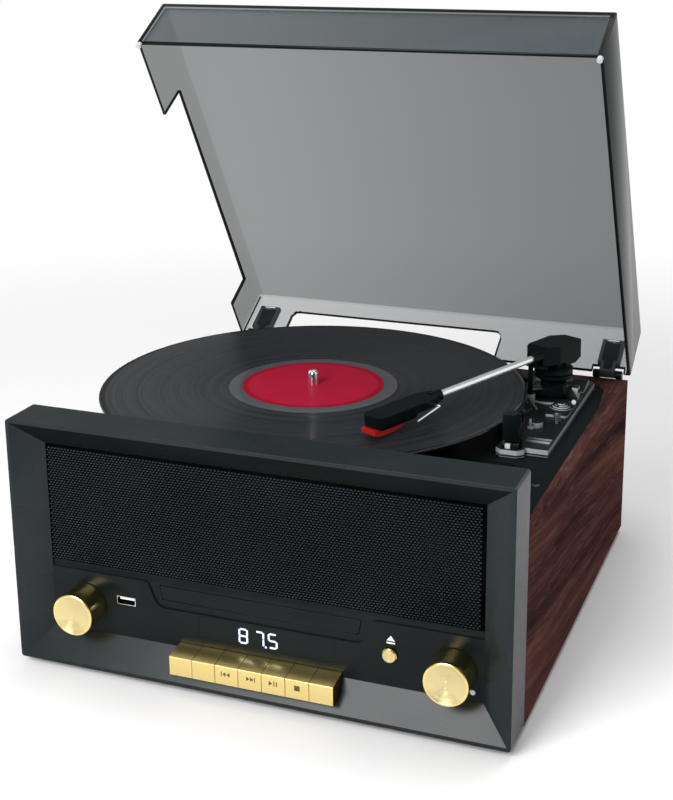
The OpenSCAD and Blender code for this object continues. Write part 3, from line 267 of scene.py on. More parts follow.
def rosewood():
    """Dark veneer: fine grain from front to back, red bands, pale streaks and short open pores."""
    finish = Finish("rosewood_veneer", specular_ior_level=0.0)
    sway = finish.noise(7, (1, 0.5, 1), detail=2)
    x, y, z = finish.split(finish.where())
    back = finish.facing()[1].above(0.7, 0.8)
    side = 1 - back
    along_grain = 0.045
    sheet = finish.add("ShaderNodeCombineXYZ", {}, {
        0: (x + sway * 0.02) * side + x * back * along_grain, 1: y * side * along_grain,
        2: z + sway * 0.03 + y * side * 0.16 + x * back * 0.05})

    def grain(scale, detail, rough):
        return finish.add("ShaderNodeTexNoise", {}, {
            "Vector": sheet, "Scale": scale, "Detail": detail, "Roughness": rough})

    wide, bands = grain(17, 1, 0.5), grain(70, 3, 0.6)
    fibres, pores = grain(420, 3, 0.65), grain(900, 2, 0.7)
    ground = finish.ramp(
        bands * 0.75 + wide * 0.25, (0.34, (0.022, 0.012, 0.012)), (0.46, (0.050, 0.023, 0.022)),
        (0.56, (0.085, 0.035, 0.031)), (0.68, (0.130, 0.058, 0.045)))
    specks = finish.noise(1500, (1, 0.35, 1), detail=2)
    pale = fibres.above(0.50, 0.72) * 0.5 + specks.above(0.60, 0.72) * 0.5
    streaked = finish.mix(pale, ground, (0.16, 0.085, 0.070))
    finish.set(base_color=finish.mix(pores.above(0.60, 0.72) * 0.8, streaked, (0.008, 0.005, 0.005)))
    finish.set(roughness=fibres * 0.2 + 0.4)
    return finish.bump(pores * -1.0 + fibres * 0.4, 0.00006, 0.5)


def chipboard():
    """Raw board: pressed chips of two browns."""
    finish = Finish("raw_board", roughness=0.8)
    chips = finish.add("ShaderNodeTexVoronoi", {}, {"Vector": finish.where(), "Scale": 420.0}, 1)
    finish.set(base_color=finish.mix(finish.noise(300), (0.22, 0.15, 0.09), (0.38, 0.28, 0.17)))
    return finish.bump(chips, 0.0001, 0.3)


def spun_gold(name, centre):
    """Turned and gold-plated knob: polished sides with faint ridges, and a face with fine turned rings."""
    finish = Finish(name, metallic=1.0)
    radius = finish.radius(centre, "y")
    along = finish.split(finish.where(centre=centre))[1]
    facing = finish.facing()[1] * -1.0
    front = facing.above(0.9, 0.98) * radius.short_of(12.6, 0.2)
    side = 1 - facing.above(0.2, 0.3)
    finish.set(roughness=0.28 - side * 0.14)
    finish.set(base_color=finish.mix(front, (0.95, 0.74, 0.28), (0.75, 0.62, 0.31)))
    return finish.ridged((finish.away(centre, "y"), finish.rings(radius, 6000.0) * front * 1.8),
                         ((0, 1, 0), finish.rings(along, 7000.0) * side * 0.3))


def vinyl():
    """Record: rings of grooves with smoother bands between the tracks, and a painted grey sheen on the run-out.
    """
    centre = place(SPINDLE_X, SPINDLE_Y, 0)
    finish = Finish("grooved_vinyl", specular_ior_level=0.3)
    radius = finish.radius(centre, "z")
    tracks = finish.rings(radius, 210.0) + 0.5
    cut = radius.past(59.5, 1.0) - radius.past(146.2, 0.8)
    # painted sheen: the run-out inside the grooves is grey, the edge outside them black
    plain = finish.mix(radius.past(100, 10), (0.074, 0.080, 0.086), (0.004, 0.005, 0.006))
    band = finish.mix(tracks.above(0.35, 0.7), (0.006, 0.008, 0.011), (0.013, 0.017, 0.021))
    finish.set(base_color=finish.mix(cut, plain, band))
    finish.set(roughness=cut * (tracks * 0.15 + 0.10) + 0.14)
    return finish.ridged((finish.away(centre, "z"), finish.rings(radius, 4200.0, 2.0) * cut * 1.9))


def paper_label():
    """Red paper with a darker edge and one ring pressed into it."""
    finish = Finish("printed_label", roughness=0.45, specular_ior_level=0.02)
    radius = finish.radius(place(SPINDLE_X, SPINDLE_Y, 0), "z")
    pressed = radius.past(35.5, 0.5) - radius.past(36.6, 0.5)
    red = finish.mix(finish.noise(60), (0.36, 0.008, 0.030), (0.45, 0.014, 0.045))
    finish.set(base_color=finish.mix(radius.past(46.0, 0.6), red, (0.30, 0.006, 0.024)))
    return finish.bump(pressed * -1.0 + finish.noise(1800) * 0.1, 0.0001, 0.5)


def smoked_acrylic():
    """Thin tinted sheet with painted shade and light in its tint: deeper towards the right and on the right
    wall, clearer on the rear and front walls, deeper in a strip beside the front wall's folds, and black where
    the front wall folds.
    """
    finish = Finish("smoked_acrylic", specular_ior_level=0.03, roughness=0.12)
    x, y, z = finish.split(finish.where(centre=HINGE))
    along = z * math.sin(LID_OPEN) - y * math.cos(LID_OPEN)
    height = y * math.sin(LID_OPEN) + z * math.cos(LID_OPEN)
    left, right, top = x.short_of(-156.2), x.past(161.2), height.past(41.7, 0.8)
    front, rear = along.past(295.4), along.short_of(2.6)
    fold = front * (left + right + top).above(0.4, 0.6)
    near_fold = (height.past(39.2, 1.0) + x.short_of(-153.0, 1.0)).above(0.4, 0.6)
    # painted shade and light: the tint deepens towards the right and much more on the right wall, and the rear
    # wall is clearer
    tint_and_painted_shade = x.past(-200, 400) * 0.113 + right * 0.45 + left * 0.05 + 0.446 - rear * 0.35
    # painted light on the front wall, which is clearer, and painted shade in a strip beside its folds
    tint_and_painted_shade = tint_and_painted_shade + front * (near_fold * 0.42 - 0.30)
    finish.set(alpha=(fold + tint_and_painted_shade) * (1 - fold * 0.3))
    # painted shade: the folds and the right wall get a darker colour
    finish.set(base_color=finish.mix(fold + right * 0.9, (0.024, 0.042, 0.050), (0.004, 0.005, 0.005)))
    finish.material.surface_render_method = "BLENDED"
    return finish


def tipped(name, shine, roughness, beyond_tip):
    """Black moulding with one pale painted tip; beyond_tip gives 1 where the tip has ended."""
    finish = Finish(name, specular_ior_level=shine)
    finish.set(base_color=finish.mix(beyond_tip(finish), (0.62, 0.64, 0.64), (0.006, 0.007, 0.007)))
    cloud = finish.noise(300, detail=1)
    finish.set(roughness=cloud * 0.1 + roughness)
    return finish.bump(cloud, 0.00005, 0.2)


def beyond_pointer(finish):
    return finish.split(finish.where(centre=place(POINTER_X, 0, 0)))[0].past(-0.3, 0.3)


def beyond_lever_end(finish):
    x, y, z = finish.split(finish.where(centre=end_of_lever()))
    return ((x * x + y * y + z * z) ** 0.5).past(1.6, 0.2)


def tray_black():
    """Satin black of the arm's tray, with a painted highlight along its upper edge and a fainter one just above
    its foot.
    """
    satin, highlight_grey = (0.012, 0.015, 0.016), (0.34, 0.36, 0.36)
    finish = moulded("arm_base_satin", satin, 0.38, 0.3, 0.12)
    under_top = finish.split(finish.where(centre=(0, 0, tray_top())))[2]
    over_foot = finish.split(finish.where(centre=(0, 0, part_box("tonearm_base")[0][2])))[2]
    upright = 1 - finish.facing()[2].above(0.5, 0.7)
    # painted highlight: pale on the upright faces along the tray's upper edge, and half as pale just above its
    # foot
    painted_highlight = under_top.past(-0.9, 0.3) * upright + over_foot.short_of(0.8, 0.3) * upright * 0.5
    return finish.set(base_color=finish.mix(painted_highlight, satin, highlight_grey))


def socket_metal():
    """Plated shell of the USB socket, with its white tongue and painted shade deep inside the shell."""
    finish = Finish("socket_shell")
    x, y, z = finish.split(finish.where(centre=place(-91, 12, 50)))
    tongue = y.past(1.8, 0.1) * z.past(0.1, 0.1) * z.short_of(1.8, 0.1)
    tongue = tongue * x.past(-5.3, 0.1) * x.short_of(5.3, 0.1)
    # painted shade: the shell is dark deeper than 0.8 mm inside
    painted_shade_inside = y.past(0.8, 0.6) * (1 - tongue)
    shell = finish.mix(painted_shade_inside, (0.85, 0.86, 0.88), (0.02, 0.02, 0.02))
    finish.set(base_color=finish.mix(tongue, shell, (0.80, 0.81, 0.82)), metallic=1 - tongue)
    cloud = finish.noise(800, detail=1)
    finish.set(roughness=cloud * 0.1 + 0.2)
    return finish.bump(cloud, 0.00001, 0.2)


def felt():
    finish = Finish("felt_mat", roughness=0.95)
    fluff = finish.noise(900, detail=4)
    finish.set(base_color=finish.mix(fluff, (0.010, 0.010, 0.012), (0.035, 0.036, 0.040)))
    return finish.bump(fluff, 0.0003, 0.6)


def circuit():
    finish = Finish("circuit_board", roughness=0.35)
    tracks = finish.add("ShaderNodeTexBrick", {}, {
        "Vector": finish.where(), "Scale": 160.0, "Mortar Size": 0.03}, 1)
    return finish.set(base_color=finish.mix(tracks, (0.01, 0.11, 0.04), (0.03, 0.22, 0.09)))


def lit_segment():
    """A digit's segment, which glows a cold white."""
    finish = Finish("lit_segment", base_color=(0.02, 0.02, 0.03), roughness=0.3)
    return finish.set(emission_color=(0.72, 0.82, 1.0), emission_strength=1.6)


def tray_top():
    """Height of the tray's widest upward face."""
    levels = {}
    for polygon in frame["nodes"]["tonearm_base"].data.polygons:
        if polygon.normal.z > 0.99:
            height = round(polygon.center.z, 5)
            levels[height] = levels.get(height, 0) + polygon.area
    return max(levels, key=levels.get)


def middle(node):
    low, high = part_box(node)
    return (Vector(low) + Vector(high)) / 2


def end_of_lever():
    """The middle of the cue lever's front end."""
    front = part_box("cue_lever")[0][1] + 0.5 * MM
    ends = [vertex.co for vertex in frame["nodes"]["cue_lever"].data.vertices if vertex.co.y < front]
    return sum(ends, Vector()) / len(ends)


# A moulded finish is name, colour, roughness, grain and shine; a metal is name, colour and roughness

FINISHES = {
    "rosewood": rosewood(),
    "board": chipboard(),
    "black_rubber": moulded("black_rubber", (0.010, 0.010, 0.010), 0.7, 0.6, 0.1),
    "gunmetal": moulded("gunmetal_paint", (0.008, 0.012, 0.0135), 0.27, 0.25, 0.2),
    # painted shade: a darker copy of the gunmetal paint, for the bezel's faces that look down
    "gunmetal_painted_shade": moulded("gunmetal_painted_shade", (0.0040, 0.0058, 0.0068), 0.4, 0.25, 0.02),
    "panel_black": moulded("panel_satin", (0.0055, 0.008, 0.009), 0.30, 0.2, 0.10),
    "grille_black": moulded("grille_bead", (0.012, 0.016, 0.021), 0.20, 0.1, 0.55),
    "grille_back": moulded("grille_back", (0.001, 0.001, 0.001), 0.8, 0.2, 0.0),
    "window_black": moulded("display_glass", (0.006, 0.009, 0.010), 0.25, 0.0, 0.10),
    "deck_black": moulded("deck_satin", (0.005, 0.007, 0.008), 0.45, 0.5, 0.04),
    "arm_black": moulded("arm_satin", (0.003, 0.005, 0.005), 0.34, 0.3, 0.06),
    "base_black": tray_black(),
    # painted highlight: pale grey for the eased edges of the arm's tray and rest
    "edge_highlight_grey": moulded("painted_edge_highlight", (0.36, 0.38, 0.38), 0.3, 0.2, 0.4),
    "leaf_grey": moulded("hinge_leaf_grey", (0.030, 0.034, 0.037), 0.4, 0.2, 0.3),
    "gold_plated": metal("plated_gold", (0.88, 0.69, 0.28), 0.30),
    # painted shade: a dark copy of the keys' gold, for their ends
    "key_side": metal("gold_painted_shade", (0.30, 0.19, 0.06), 0.4),
    "bright_steel": metal("polished_steel", (0.92, 0.93, 0.95), 0.16),
    "tube_metal": metal("satin_tube", (0.96, 0.97, 0.98), 0.32).set(metallic=0.75),
    "plain_steel": metal("plain_steel", (0.55, 0.56, 0.58), 0.35),
    "dark_steel": metal("blackened_steel", (0.10, 0.10, 0.11), 0.4),
    "socket_shell": socket_metal(),
    "circuit_board": circuit(),
    "speaker_black": moulded("speaker_paper", (0.015, 0.015, 0.015), 0.7),
    "bearing_brass": metal("turned_brass", (0.72, 0.50, 0.20), 0.25),
    "platter_metal": metal("blackened_aluminium", (0.05, 0.05, 0.055), 0.3),
    "felt": felt(),
    "vinyl": vinyl(),
    "label_red": paper_label(),
    "stylus_red": moulded("stylus_plastic", (0.42, 0.012, 0.010), 0.3, 0.2, 0.4),
    "smoked_acrylic": smoked_acrylic(),
    "clear_rubber": moulded("pale_rubber", (0.46, 0.48, 0.48), 0.4, 0.2, 0.4),
    "tuning_gold": spun_gold("spun_gold_left", place(TUNING_X, 0, KNOB_Z)),
    "volume_gold": spun_gold("spun_gold_right", place(VOLUME_X, 0, KNOB_Z)),
    "eject_gold": spun_gold("spun_gold_eject", middle("eject_button")),
    "acrylic_edge": moulded("acrylic_edge", (0.003, 0.004, 0.004), 0.3, 0.0, 0.1),
    "print_white": moulded("white_print", (0.72, 0.73, 0.74), 0.5, 0.0),
    "print_dark": moulded("dark_print", (0.10, 0.065, 0.02), 0.5, 0.0, 0.1),
    "lever_two_tone": tipped("lever_tip", 0.2, 0.3, beyond_lever_end),
    "pointer_two_tone": tipped("pointer_tip", 0.3, 0.2, beyond_pointer),
    "lit_segment": lit_segment(),
}

# The finish of each CAD node: the one its record names, and a nearer one where the photograph shows it
NODE_FINISH = {part["node"]: part["material_slot"] for part in record["subparts"]}
for node, finish in NODE_FINISH.items():
    NODE_FINISH[node] = {"gold_metal": "volume_gold", "dark_steel": "arm_black"}.get(finish, finish)
NODE_FINISH.update(
    tuning_knob="tuning_gold", cue_lever="lever_two_tone", speed_switch="pointer_two_tone",
    return_spring="dark_steel", deck_screws="dark_steel", hinge_brackets="arm_black",
    hinge_pins="arm_black", eject_button="eject_gold", arm_tube="tube_metal",
    hinge_leaves="leaf_grey", tonearm_base="base_black", usb_socket="socket_shell")


def wear(piece, *names):
    piece.data.materials.clear()
    for name in names:
        piece.data.materials.append(FINISHES[name].material)


def shade_faces(piece, finish, chosen):
    """Gives the faces whose normal passes a test a second finish."""
    piece.data.materials.append(FINISHES[finish].material)
    for polygon in piece.data.polygons:
        if chosen(polygon.normal):
            polygon.material_index = len(piece.data.materials) - 1


# Modelling steps

def pick_only(piece):
    bpy.ops.object.select_all(action="DESELECT")
    piece.select_set(True)
    bpy.context.view_layer.objects.active = piece


def edit(piece):
    pick_only(piece)
    bpy.ops.object.mode_set(mode="EDIT")
    bpy.ops.mesh.select_mode(type="FACE")


def done():
    """Leaves edit mode and brings the piece's place, turn and scale into its mesh."""
    bpy.ops.object.mode_set(mode="OBJECT")
    piece = bpy.context.object
    bpy.ops.object.transform_apply(location=True, rotation=True, scale=True)
    return piece


def named(name):
    piece = bpy.context.object
    piece.name = piece.data.name = name
    return piece


def finished(piece, body, finish, *nodes, smooth=35):
    """Smooths a piece, gives it its finish, and sets it on its body in place of its nodes."""
    pick_only(piece)
    bpy.ops.object.transform_apply(location=True, rotation=True, scale=True)
    bpy.ops.object.shade_smooth_by_angle(angle=math.radians(smooth))
    wear(piece, finish)
    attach(piece, body)
    if nodes:
        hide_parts(*nodes)


def join(name, pieces):
    pick_only(pieces[0])
    for piece in pieces:
        piece.select_set(True)
    bpy.ops.object.join()
    return named(name)


def settle(piece, kind, **settings):
    """Adds a modifier and applies it."""
    pick_only(piece)
    modifier = piece.modifiers.new(kind.title(), kind)
    for key, setting in settings.items():
        setattr(modifier, key, setting)
    bpy.ops.object.modifier_apply(modifier=modifier.name)


def outward(piece):
    edit(piece)
    bpy.ops.mesh.select_all(action="SELECT")
    bpy.ops.mesh.remove_doubles(threshold=0.005 * MM)
    bpy.ops.mesh.normals_make_consistent(inside=False)
    return done()


def softened(node, width, segments=2, edge_finish=None, smooth=24, clamp=True):
    """A copy of a CAD node with its sharp outer edges eased, which stands for it."""
    flat, sharp = math.radians(0.6), math.radians(38)
    source = frame["nodes"][node]
    piece = source.copy()
    piece.data = source.data.copy()
    piece.parent = None
    bpy.context.scene.collection.objects.link(piece)
    piece.name = piece.data.name = node + "_eased"
    edit(piece)
    bpy.ops.mesh.select_all(action="SELECT")
    bpy.ops.mesh.remove_doubles(threshold=0.002 * MM)
    bpy.ops.mesh.dissolve_limited(angle_limit=flat)
    bpy.ops.mesh.select_mode(type="EDGE")
    bpy.ops.mesh.select_all(action="DESELECT")
    bpy.ops.object.mode_set(mode="OBJECT")
    mesh = piece.data
    weight = mesh.attributes.new("bevel_weight_edge", "FLOAT", "EDGE")
    faces = {}
    for polygon in mesh.polygons:
        for key in polygon.edge_keys:
            faces.setdefault(key, []).append(polygon)
    for edge in mesh.edges:
        pair = faces.get(edge.key, [])
        if len(pair) != 2:
            continue
        first, second = pair
        bend = first.normal.angle(second.normal, 0)
        outer = (second.center - first.center).dot(first.normal) < 0
        if bend > sharp and outer:
            weight.data[edge.index].value = 1
    settings = {"limit_method": "WEIGHT", "width": width * MM, "segments": segments, "use_clamp_overlap": clamp}
    names = [NODE_FINISH[node]]
    if edge_finish:
        names.append(edge_finish)
        settings["material"] = 1
    wear(piece, *names)
    settle(piece, "BEVEL", **settings)
    pick_only(piece)
    bpy.ops.object.shade_smooth_by_angle(angle=math.radians(smooth))
    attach(piece, body_of[node])
    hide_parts(node)
    return piece


def turned(name, centre, axis, profile, steps):
    """A piece turned on a lathe: a point drawn out through a profile of radius and height, then spun."""
    along = {"y": lambda r, h: (r, h, 0), "z": lambda r, h: (r, 0, h)}[axis]
    points = [centre + Vector(along(r * MM, h * MM)) for r, h in profile]
    bpy.ops.mesh.primitive_plane_add(size=MM, location=points[0])
    piece = named(name)
    edit(piece)
    bpy.ops.mesh.select_mode(type="VERT")
    bpy.ops.mesh.select_all(action="SELECT")
    bpy.ops.mesh.merge(type="CENTER")
    for start, end in zip(points, points[1:]):
        bpy.ops.mesh.extrude_vertices_move(TRANSFORM_OT_translate={"value": end - start})
    bpy.ops.mesh.select_all(action="SELECT")
    line = {"y": (0, 1, 0), "z": (0, 0, 1)}[axis]
    bpy.ops.mesh.spin(steps=steps, angle=2 * math.pi, center=centre, axis=line)
    bpy.ops.mesh.select_all(action="SELECT")
    bpy.ops.mesh.remove_doubles(threshold=0.004 * MM)
    bpy.ops.mesh.normals_make_consistent(inside=False)
    return done()


# Moulded and wooden pieces: the CAD nodes with their edges eased, by these widths in millimetres

EASED = {
    "cabinet": 0.5, "front_bezel": 0.5, "control_panel": 0.3, "cd_drawer_front": 0.4, "turntable_deck": 0.6,
    "tonearm_base": 0.4, "arm_block": 0.7, "headshell": 0.6, "cartridge": 0.3, "stylus": 0.3, "cue_lever": 0.5,
    "arm_rest": 0.4, "arm_clip": 0.2, "speed_switch": 0.3, "hinge_leaves": 0.6, "hinge_brackets": 0.4,
    "socket_plate": 0.3, "bottom_panel": 0.3, "rubber_feet": 0.5, "usb_socket": 0.15, "arm_yoke": 0.3,
    "pivot_column": 0.3, "cue_platform": 0.2, "display_window": 0.2,
}


def ease_edges():
    """Eases the nodes' edges; the arm's tray and rest get a painted highlight on their eased edges, and the
    bezel's faces that look down and the keys' ends get painted shade.
    """
    for node, width in EASED.items():
        # the arm's tray and rest take the painted highlight on their eased edges
        painted_highlight = "edge_highlight_grey" if node in ("tonearm_base", "arm_rest") else None
        piece = softened(node, width, edge_finish=painted_highlight, smooth=8 if node == "arm_block" else 24)
        if node == "front_bezel":
            # painted shade on the bezel's faces that look down
            shade_faces(piece, "gunmetal_painted_shade", lambda normal: normal.z < -0.3)
    for number in range(1, 8):
        key = softened("key_%d" % number, 0.35)
        # painted shade on the keys' ends
        shade_faces(key, "key_side", lambda normal: abs(normal.x) > 0.5)


# Grille: rows of small raised beads, staggered, on a backing sheet

def bead_grille():
    thick, left_rim, other_rim, foot = 0.6 * MM, 3.4 * MM, 3.0 * MM, 1.2 * MM
    pitch_x, pitch_z = 2.3 * MM, 3.3 * MM
    low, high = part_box("speaker_grille")
    face = high[1] - thick
    bpy.ops.mesh.primitive_cube_add(size=1)
    sheet = named("grille_sheet")
    sheet.location = (low[0] + high[0]) / 2, high[1] - thick / 2, (low[2] + high[2]) / 2
    sheet.scale = high[0] - low[0], thick, high[2] - low[2]
    sheet = done()
    left, bottom = low[0] + left_rim, low[2] + foot
    columns = int((high[0] - other_rim - left) / pitch_x)
    rows = int((high[2] - other_rim - bottom) / pitch_z)
    layers = [sheet]
    for shift in (0, 1):
        bpy.ops.mesh.primitive_ico_sphere_add(subdivisions=1, radius=1)
        bead = named("bead")
        bead.scale = 1.08 * MM, 0.95 * MM, 0.60 * MM
        bead.location = left + shift * pitch_x / 2, face, bottom + shift * pitch_z / 2
        bead = done()
        edit(bead)
        bpy.ops.mesh.select_all(action="SELECT")
        bpy.ops.mesh.bisect(plane_co=(0, face, 0), plane_no=(0, 1, 0), clear_outer=True)
        bead = done()
        for count, step in ((columns, (pitch_x, 0, 0)), (rows, (0, 0, pitch_z))):
            settle(bead, "ARRAY", count=count, use_relative_offset=False, use_constant_offset=True,
                   constant_offset_displace=step)
        layers.append(bead)
    for layer, name in zip(layers, ("grille_back", "grille_black", "grille_black")):
        wear(layer, name)
    piece = join("grille_beads", layers)
    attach(piece, "housing")
    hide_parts("speaker_grille")


# Knobs: spun shells with a chamfered rim

def spun_knob(node, x, finish):
    length = 18.5
    rim = [(0, 0.35), (11.7, 0.3), (12.2, 0.05), (12.5, 0), (13.1, 0), (13.6, 0.3), (13.8, 0.8), (13.8, 2.0)]
    skirt = [(13.55, 2.4), (13.5, 3.0), (13.5, length - 0.3), (13.2, length), (11.6, length)]
    hollow = [(11.5, 4), (5.5, 4), (5.5, 13), (3.05, 13), (3.05, 4), (0, 4)]
    piece = turned(node + "_spun", place(x, KNOB_FACE, KNOB_Z), "y", rim + skirt + hollow, 128)
    finished(piece, body_of[node], finish, node, smooth=28)


# Lid: the smoked shell with dark cut edges and folds, and the leaves that hold it

def acrylic_lid():
    """Darkens the shell's cut edges and its narrow faces, but not those round the top plate."""
    narrow, lip = 2.7 * MM, 43 * MM
    plate_height, plate_front, plate_side = 44 * MM, -290 * MM, 164.7 * MM
    piece = softened("lid", 1.0, 3, edge_finish="acrylic_edge", clamp=False)
    shut = Matrix.Rotation(LID_OPEN, 3, "X")
    for polygon in piece.data.polygons:
        corners = [shut @ (piece.data.vertices[i].co - HINGE) for i in polygon.vertices]
        low = [min(corner[k] for corner in corners) for k in range(3)]
        high = [max(corner[k] for corner in corners) for k in range(3)]
        spans = sorted(high[k] - low[k] for k in range(3))
        cut = (shut @ polygon.normal).z < -0.9 and high[2] < lip
        if low[2] > plate_height and high[1] > plate_front and high[0] < plate_side:
            polygon.material_index = 0
        elif cut or spans[1] < narrow:
            polygon.material_index = 1


def hinge_leaf_frames():
    """Sinks the leaves' inner faces in a raised frame and gives them painted shade, and marks each with a pale
    slot as a painted highlight.
    """
    wide_face, frame_width, slope, depth = 250 * MM * MM, 2.2 * MM, 0.5 * MM, 0.8 * MM
    piece = bpy.data.objects["hinge_leaves_eased"]
    shut = Matrix.Rotation(LID_OPEN, 3, "X")
    edit(piece)
    bpy.ops.mesh.select_all(action="DESELECT")
    bpy.ops.object.mode_set(mode="OBJECT")
    for polygon in piece.data.polygons:
        polygon.select = (shut @ polygon.normal).y < -0.99 and polygon.area > wide_face
    bpy.ops.object.mode_set(mode="EDIT")
    bpy.ops.mesh.inset(thickness=frame_width)
    bpy.ops.mesh.inset(thickness=slope, depth=-depth)
    bpy.ops.object.mode_set(mode="OBJECT")
    # painted shade: the sunken faces take the darker satin black
    wear(piece, "leaf_grey", "base_black")
    for polygon in piece.data.polygons:
        polygon.material_index = int(polygon.select)
    for side, x in (("left", -142.5), ("right", 147.5)):
        bpy.ops.mesh.primitive_cube_add(size=1, location=(x, -6.5, 28.4))
        slot = named("hinge_slot_highlight_" + side)
        slot.scale = 9, 0.5, 0.9
        slot = done()
        settle(slot, "BEVEL", width=0.2, segments=2)
        slot.scale = MM, MM, MM
        slot.rotation_euler = -LID_OPEN, 0, 0
        slot.location = HINGE
        # painted highlight: the slot wears the white print finish
        finished(slot, "lid", "print_white")


# Marks on the panel and keys: plain symbols and numbers, each a shallow plate with eased edges

THICK = 0.12


def bar(x0, z0, x1, z1):
    """An upright bar between two corners, in millimetres from the mark's middle."""
    bpy.ops.mesh.primitive_cube_add(size=1, location=((x0 + x1) / 2, 0, (z0 + z1) / 2))
    bpy.context.object.scale = x1 - x0, THICK, z1 - z0
    return done()


def disc(radius, corners=24):
    """A round or many-cornered plate, with its first corner up."""
    bpy.ops.mesh.primitive_cylinder_add(
        vertices=corners, radius=radius, depth=THICK, location=(0, 0, 0), rotation=(math.pi / 2, 0, 0))
    return done()


def arrow(x, size, way):
    """A triangle that points left (way -1) or right (way 1) from a flat side at x."""
    head = disc(1, 3)
    low, high = (min(v.co.z for v in head.data.vertices), max(v.co.z for v in head.data.vertices))
    wide = max(v.co.x for v in head.data.vertices)
    stretch = 1.5 * size / (high - low)
    head.rotation_euler = (0, way * math.pi / 2, 0)
    head.scale = (size / wide, 1, stretch)
    head.location = (x - way * low * stretch, 0, 0)
    pick_only(head)
    return done()


def segment(x, z, upright):
    """A bar of a digit, pointed at both ends: a six-sided plate drawn out along its length."""
    half, wide = 2.2, 0.68
    piece = disc(wide, 6)
    edit(piece)
    for side in (-1, 1):
        bpy.ops.mesh.select_mode(type="VERT")
        bpy.ops.mesh.select_all(action="DESELECT")
        bpy.ops.object.mode_set(mode="OBJECT")
        for vertex in piece.data.vertices:
            vertex.select = vertex.co.z * side > 0.1 * wide
        bpy.ops.object.mode_set(mode="EDIT")
        bpy.ops.transform.translate(value=(0, 0, side * (half - wide)))
    bpy.ops.object.mode_set(mode="OBJECT")
    piece.rotation_euler = (0, 0 if upright else math.pi / 2, 0)
    piece.location = (x, 0, z)
    return done()


def mark(name, shapes, x, y, z, finish, body="housing"):
    """Joins shapes into one mark, sets it on an upright face and eases it."""
    piece = join(name, shapes)
    piece.scale = (MM, MM, MM)
    piece.location = place(x, y, z)
    pick_only(piece)
    piece = done()
    settle(piece, "BEVEL", width=0.02 * MM, segments=1)
    finished(outward(piece), body, finish)


def key_marks():
    """Previous, next, play or pause, and stop, on keys 3 to 6."""
    signs = {
        3: lambda: [bar(-3.6, -1.6, -3.0, 1.6), arrow(-0.4, 1.5, -1), arrow(2.2, 1.5, -1)],
        4: lambda: [bar(3.0, -1.6, 3.6, 1.6), arrow(-2.2, 1.5, 1), arrow(0.4, 1.5, 1)],
        5: lambda: [arrow(-2.9, 1.6, 1), bar(0.2, -1.6, 0.9, 1.6), bar(1.9, -1.6, 2.6, 1.6)],
        6: lambda: [bar(-1.8, -1.7, 1.8, 1.7)],
    }
    for number, shapes in signs.items():
        x = MIDDLE_KEY_X + (number - 4) * KEY_PITCH
        mark("key_sign_%d" % number, shapes(), x, KEY_FACE, KEY_Z, "print_dark", "key_%d" % number)


def lit_digits():
    """87.5, of segments named as on any such display, each by its middle and whether it stands upright."""
    side, tall = 2.6, 4.6
    parts = {"a": (0, tall, False), "b": (side, tall / 2, True), "c": (side, -tall / 2, True),
             "d": (0, -tall, False), "e": (-side, -tall / 2, True), "f": (-side, tall / 2, True),
             "g": (0, 0, False)}
    shapes = [bar(4.5, -5.5, 5.7, -4.3)]
    for digit_x, lit_parts in ((-9.9, "abcdefg"), (1.0, "abc"), (9.8, "acdfg")):
        for x, z, upright in (parts[part] for part in lit_parts):
            shapes.append(segment(digit_x + x, z, upright))
    mark("lit_digits", shapes, 0, PANEL_FACE, 40.7, "lit_segment")


def eject_sign():
    """A triangle that points up, over a bar."""
    head = disc(2.6, 3)
    head.scale = (1.15, 1, 0.85)
    pick_only(head)
    mark("eject_sign", [done(), bar(-2.6, -3.0, 2.6, -2.0)], 86, PANEL_FACE, 56.4, "print_white")


def volume_dot():
    mark("volume_dot", [disc(1.6)], 136.4, PANEL_FACE, 31.4, "print_white")


# Record, with its raised bead and label area, and spindle, both turned

def record_and_spindle():
    centre = place(SPINDLE_X, SPINDLE_Y, RECORD_UNDERSIDE)
    bead = [(150.3, 0), (150.8, 0.5), (150.8, 1.4), (150.3, 1.85), (149.2, 1.9), (147.8, 1.88), (146.6, 1.62)]
    label_area = [(59.8, 1.6), (58.4, 1.86), (51.2, 1.9), (50.6, 1.9)]
    face = [(3.65, 0)] + bead + label_area + [(3.65, 1.9), (3.65, 0)]
    finished(turned("pressed_record", centre, "z", face, 256), "turntable", "vinyl", "record", smooth=20)
    top = [(0, -37), (3.6, -37), (3.6, 9.9), (3.1, 11.6), (2.2, 12.5), (0.9, 12.88), (0, 12.9)]
    finished(turned("turned_spindle", centre, "z", top, 48), "turntable", "bright_steel", "spindle", smooth=50)


# Studio: a pale floor, a soft light above the front, one overhead and a white surround

def floor_sheet():
    """A pale floor that turns to plain white far from the object."""
    bpy.ops.mesh.primitive_circle_add(vertices=96, radius=6, fill_type="NGON", location=(0, 0, 0))
    floor = named("studio_floor")
    finish = Finish("studio_floor", base_color=(0.93, 0.93, 0.935), roughness=0.7, specular_ior_level=0.1)
    glow = finish.add("ShaderNodeEmission", {}, {"Color": (1, 1, 1, 1)})
    far = finish.radius((0, 0, 0), "z").past(400, 800)
    paint = Value(finish, finish.shader.outputs[0])
    blend = finish.add("ShaderNodeMixShader", {}, {0: far, 1: paint, 2: glow})
    finish.feed(finish.tree.nodes["Material Output"], {0: blend})
    floor.data.materials.append(finish.material)


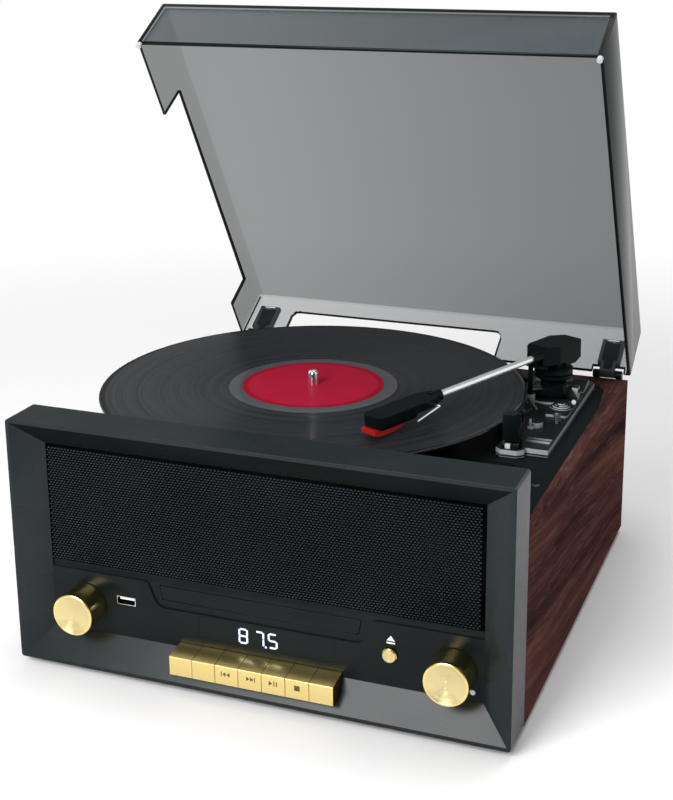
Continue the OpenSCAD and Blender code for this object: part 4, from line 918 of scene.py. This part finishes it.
def surround():
    """White for the camera, and for gloss and glass from the sides and the back.

    Gloss and glass see a dim room in front and a dim corner low at the back on the left.
    """
    sky_level, room_level, corner_dimming = 0.45, 0.08, 0.8
    world = bpy.context.scene.world or bpy.data.worlds.new("studio")
    bpy.context.scene.world = world
    world.use_nodes = True
    world.node_tree.nodes.clear()
    graph = Graph(world.node_tree)
    rays = graph.add("ShaderNodeLightPath", {}, {}).socket.node.outputs
    seen, gloss, through = (
        Value(graph, rays[ray]) for ray in ("Is Camera Ray", "Is Glossy Ray", "Is Transmission Ray"))
    x, y, z = graph.split(graph.add("ShaderNodeTexCoord", {}, {}))
    corner = y.above(0.5, 0.8) * (1 - z.above(0.35, 0.65)) * (x * -1.0).above(0.1, 0.45)
    mirrored = y.above(-0.55, 0.0) * (1 - room_level) + room_level
    mirrored = mirrored * (1 - corner * corner_dimming)
    either = graph.add("ShaderNodeMath", {"operation": "MAXIMUM"}, {0: gloss, 1: through})
    level = (1 - seen) * (either * mirrored + (1 - either) * sky_level) + seen
    sky = graph.add("ShaderNodeBackground", {}, {"Color": (1, 1, 1, 1), "Strength": level})
    graph.feed(graph.tree.nodes.new("ShaderNodeOutputWorld"), {"Surface": sky})


def lamp(name, spot, aim, size, power):
    bpy.ops.object.light_add(type="AREA", location=spot)
    light = bpy.context.object
    light.name = name
    light.data.size = size
    light.data.energy = power
    light.rotation_euler = (Vector(spot) - Vector(aim)).to_track_quat("Z", "Y").to_euler()


def studio():
    floor_sheet()
    surround()
    lamp("front_light", (-0.30, -1.3, 0.9), (0, -0.1, 0.05), 0.7, 22)
    lamp("top_light", (0.2, 0.35, 2.0), (0, 0, 0.1), 1.0, 15)
    bpy.context.scene.view_settings.view_transform = "Standard"


# The whole, in order

for node, piece in frame["nodes"].items():
    wear(piece, NODE_FINISH[node])
aim_camera()
ease_edges()
bead_grille()
spun_knob("tuning_knob", TUNING_X, "tuning_gold")
spun_knob("volume_knob", VOLUME_X, "volume_gold")
acrylic_lid()
hinge_leaf_frames()
key_marks()
lit_digits()
eject_sign()
volume_dot()
record_and_spindle()
studio()
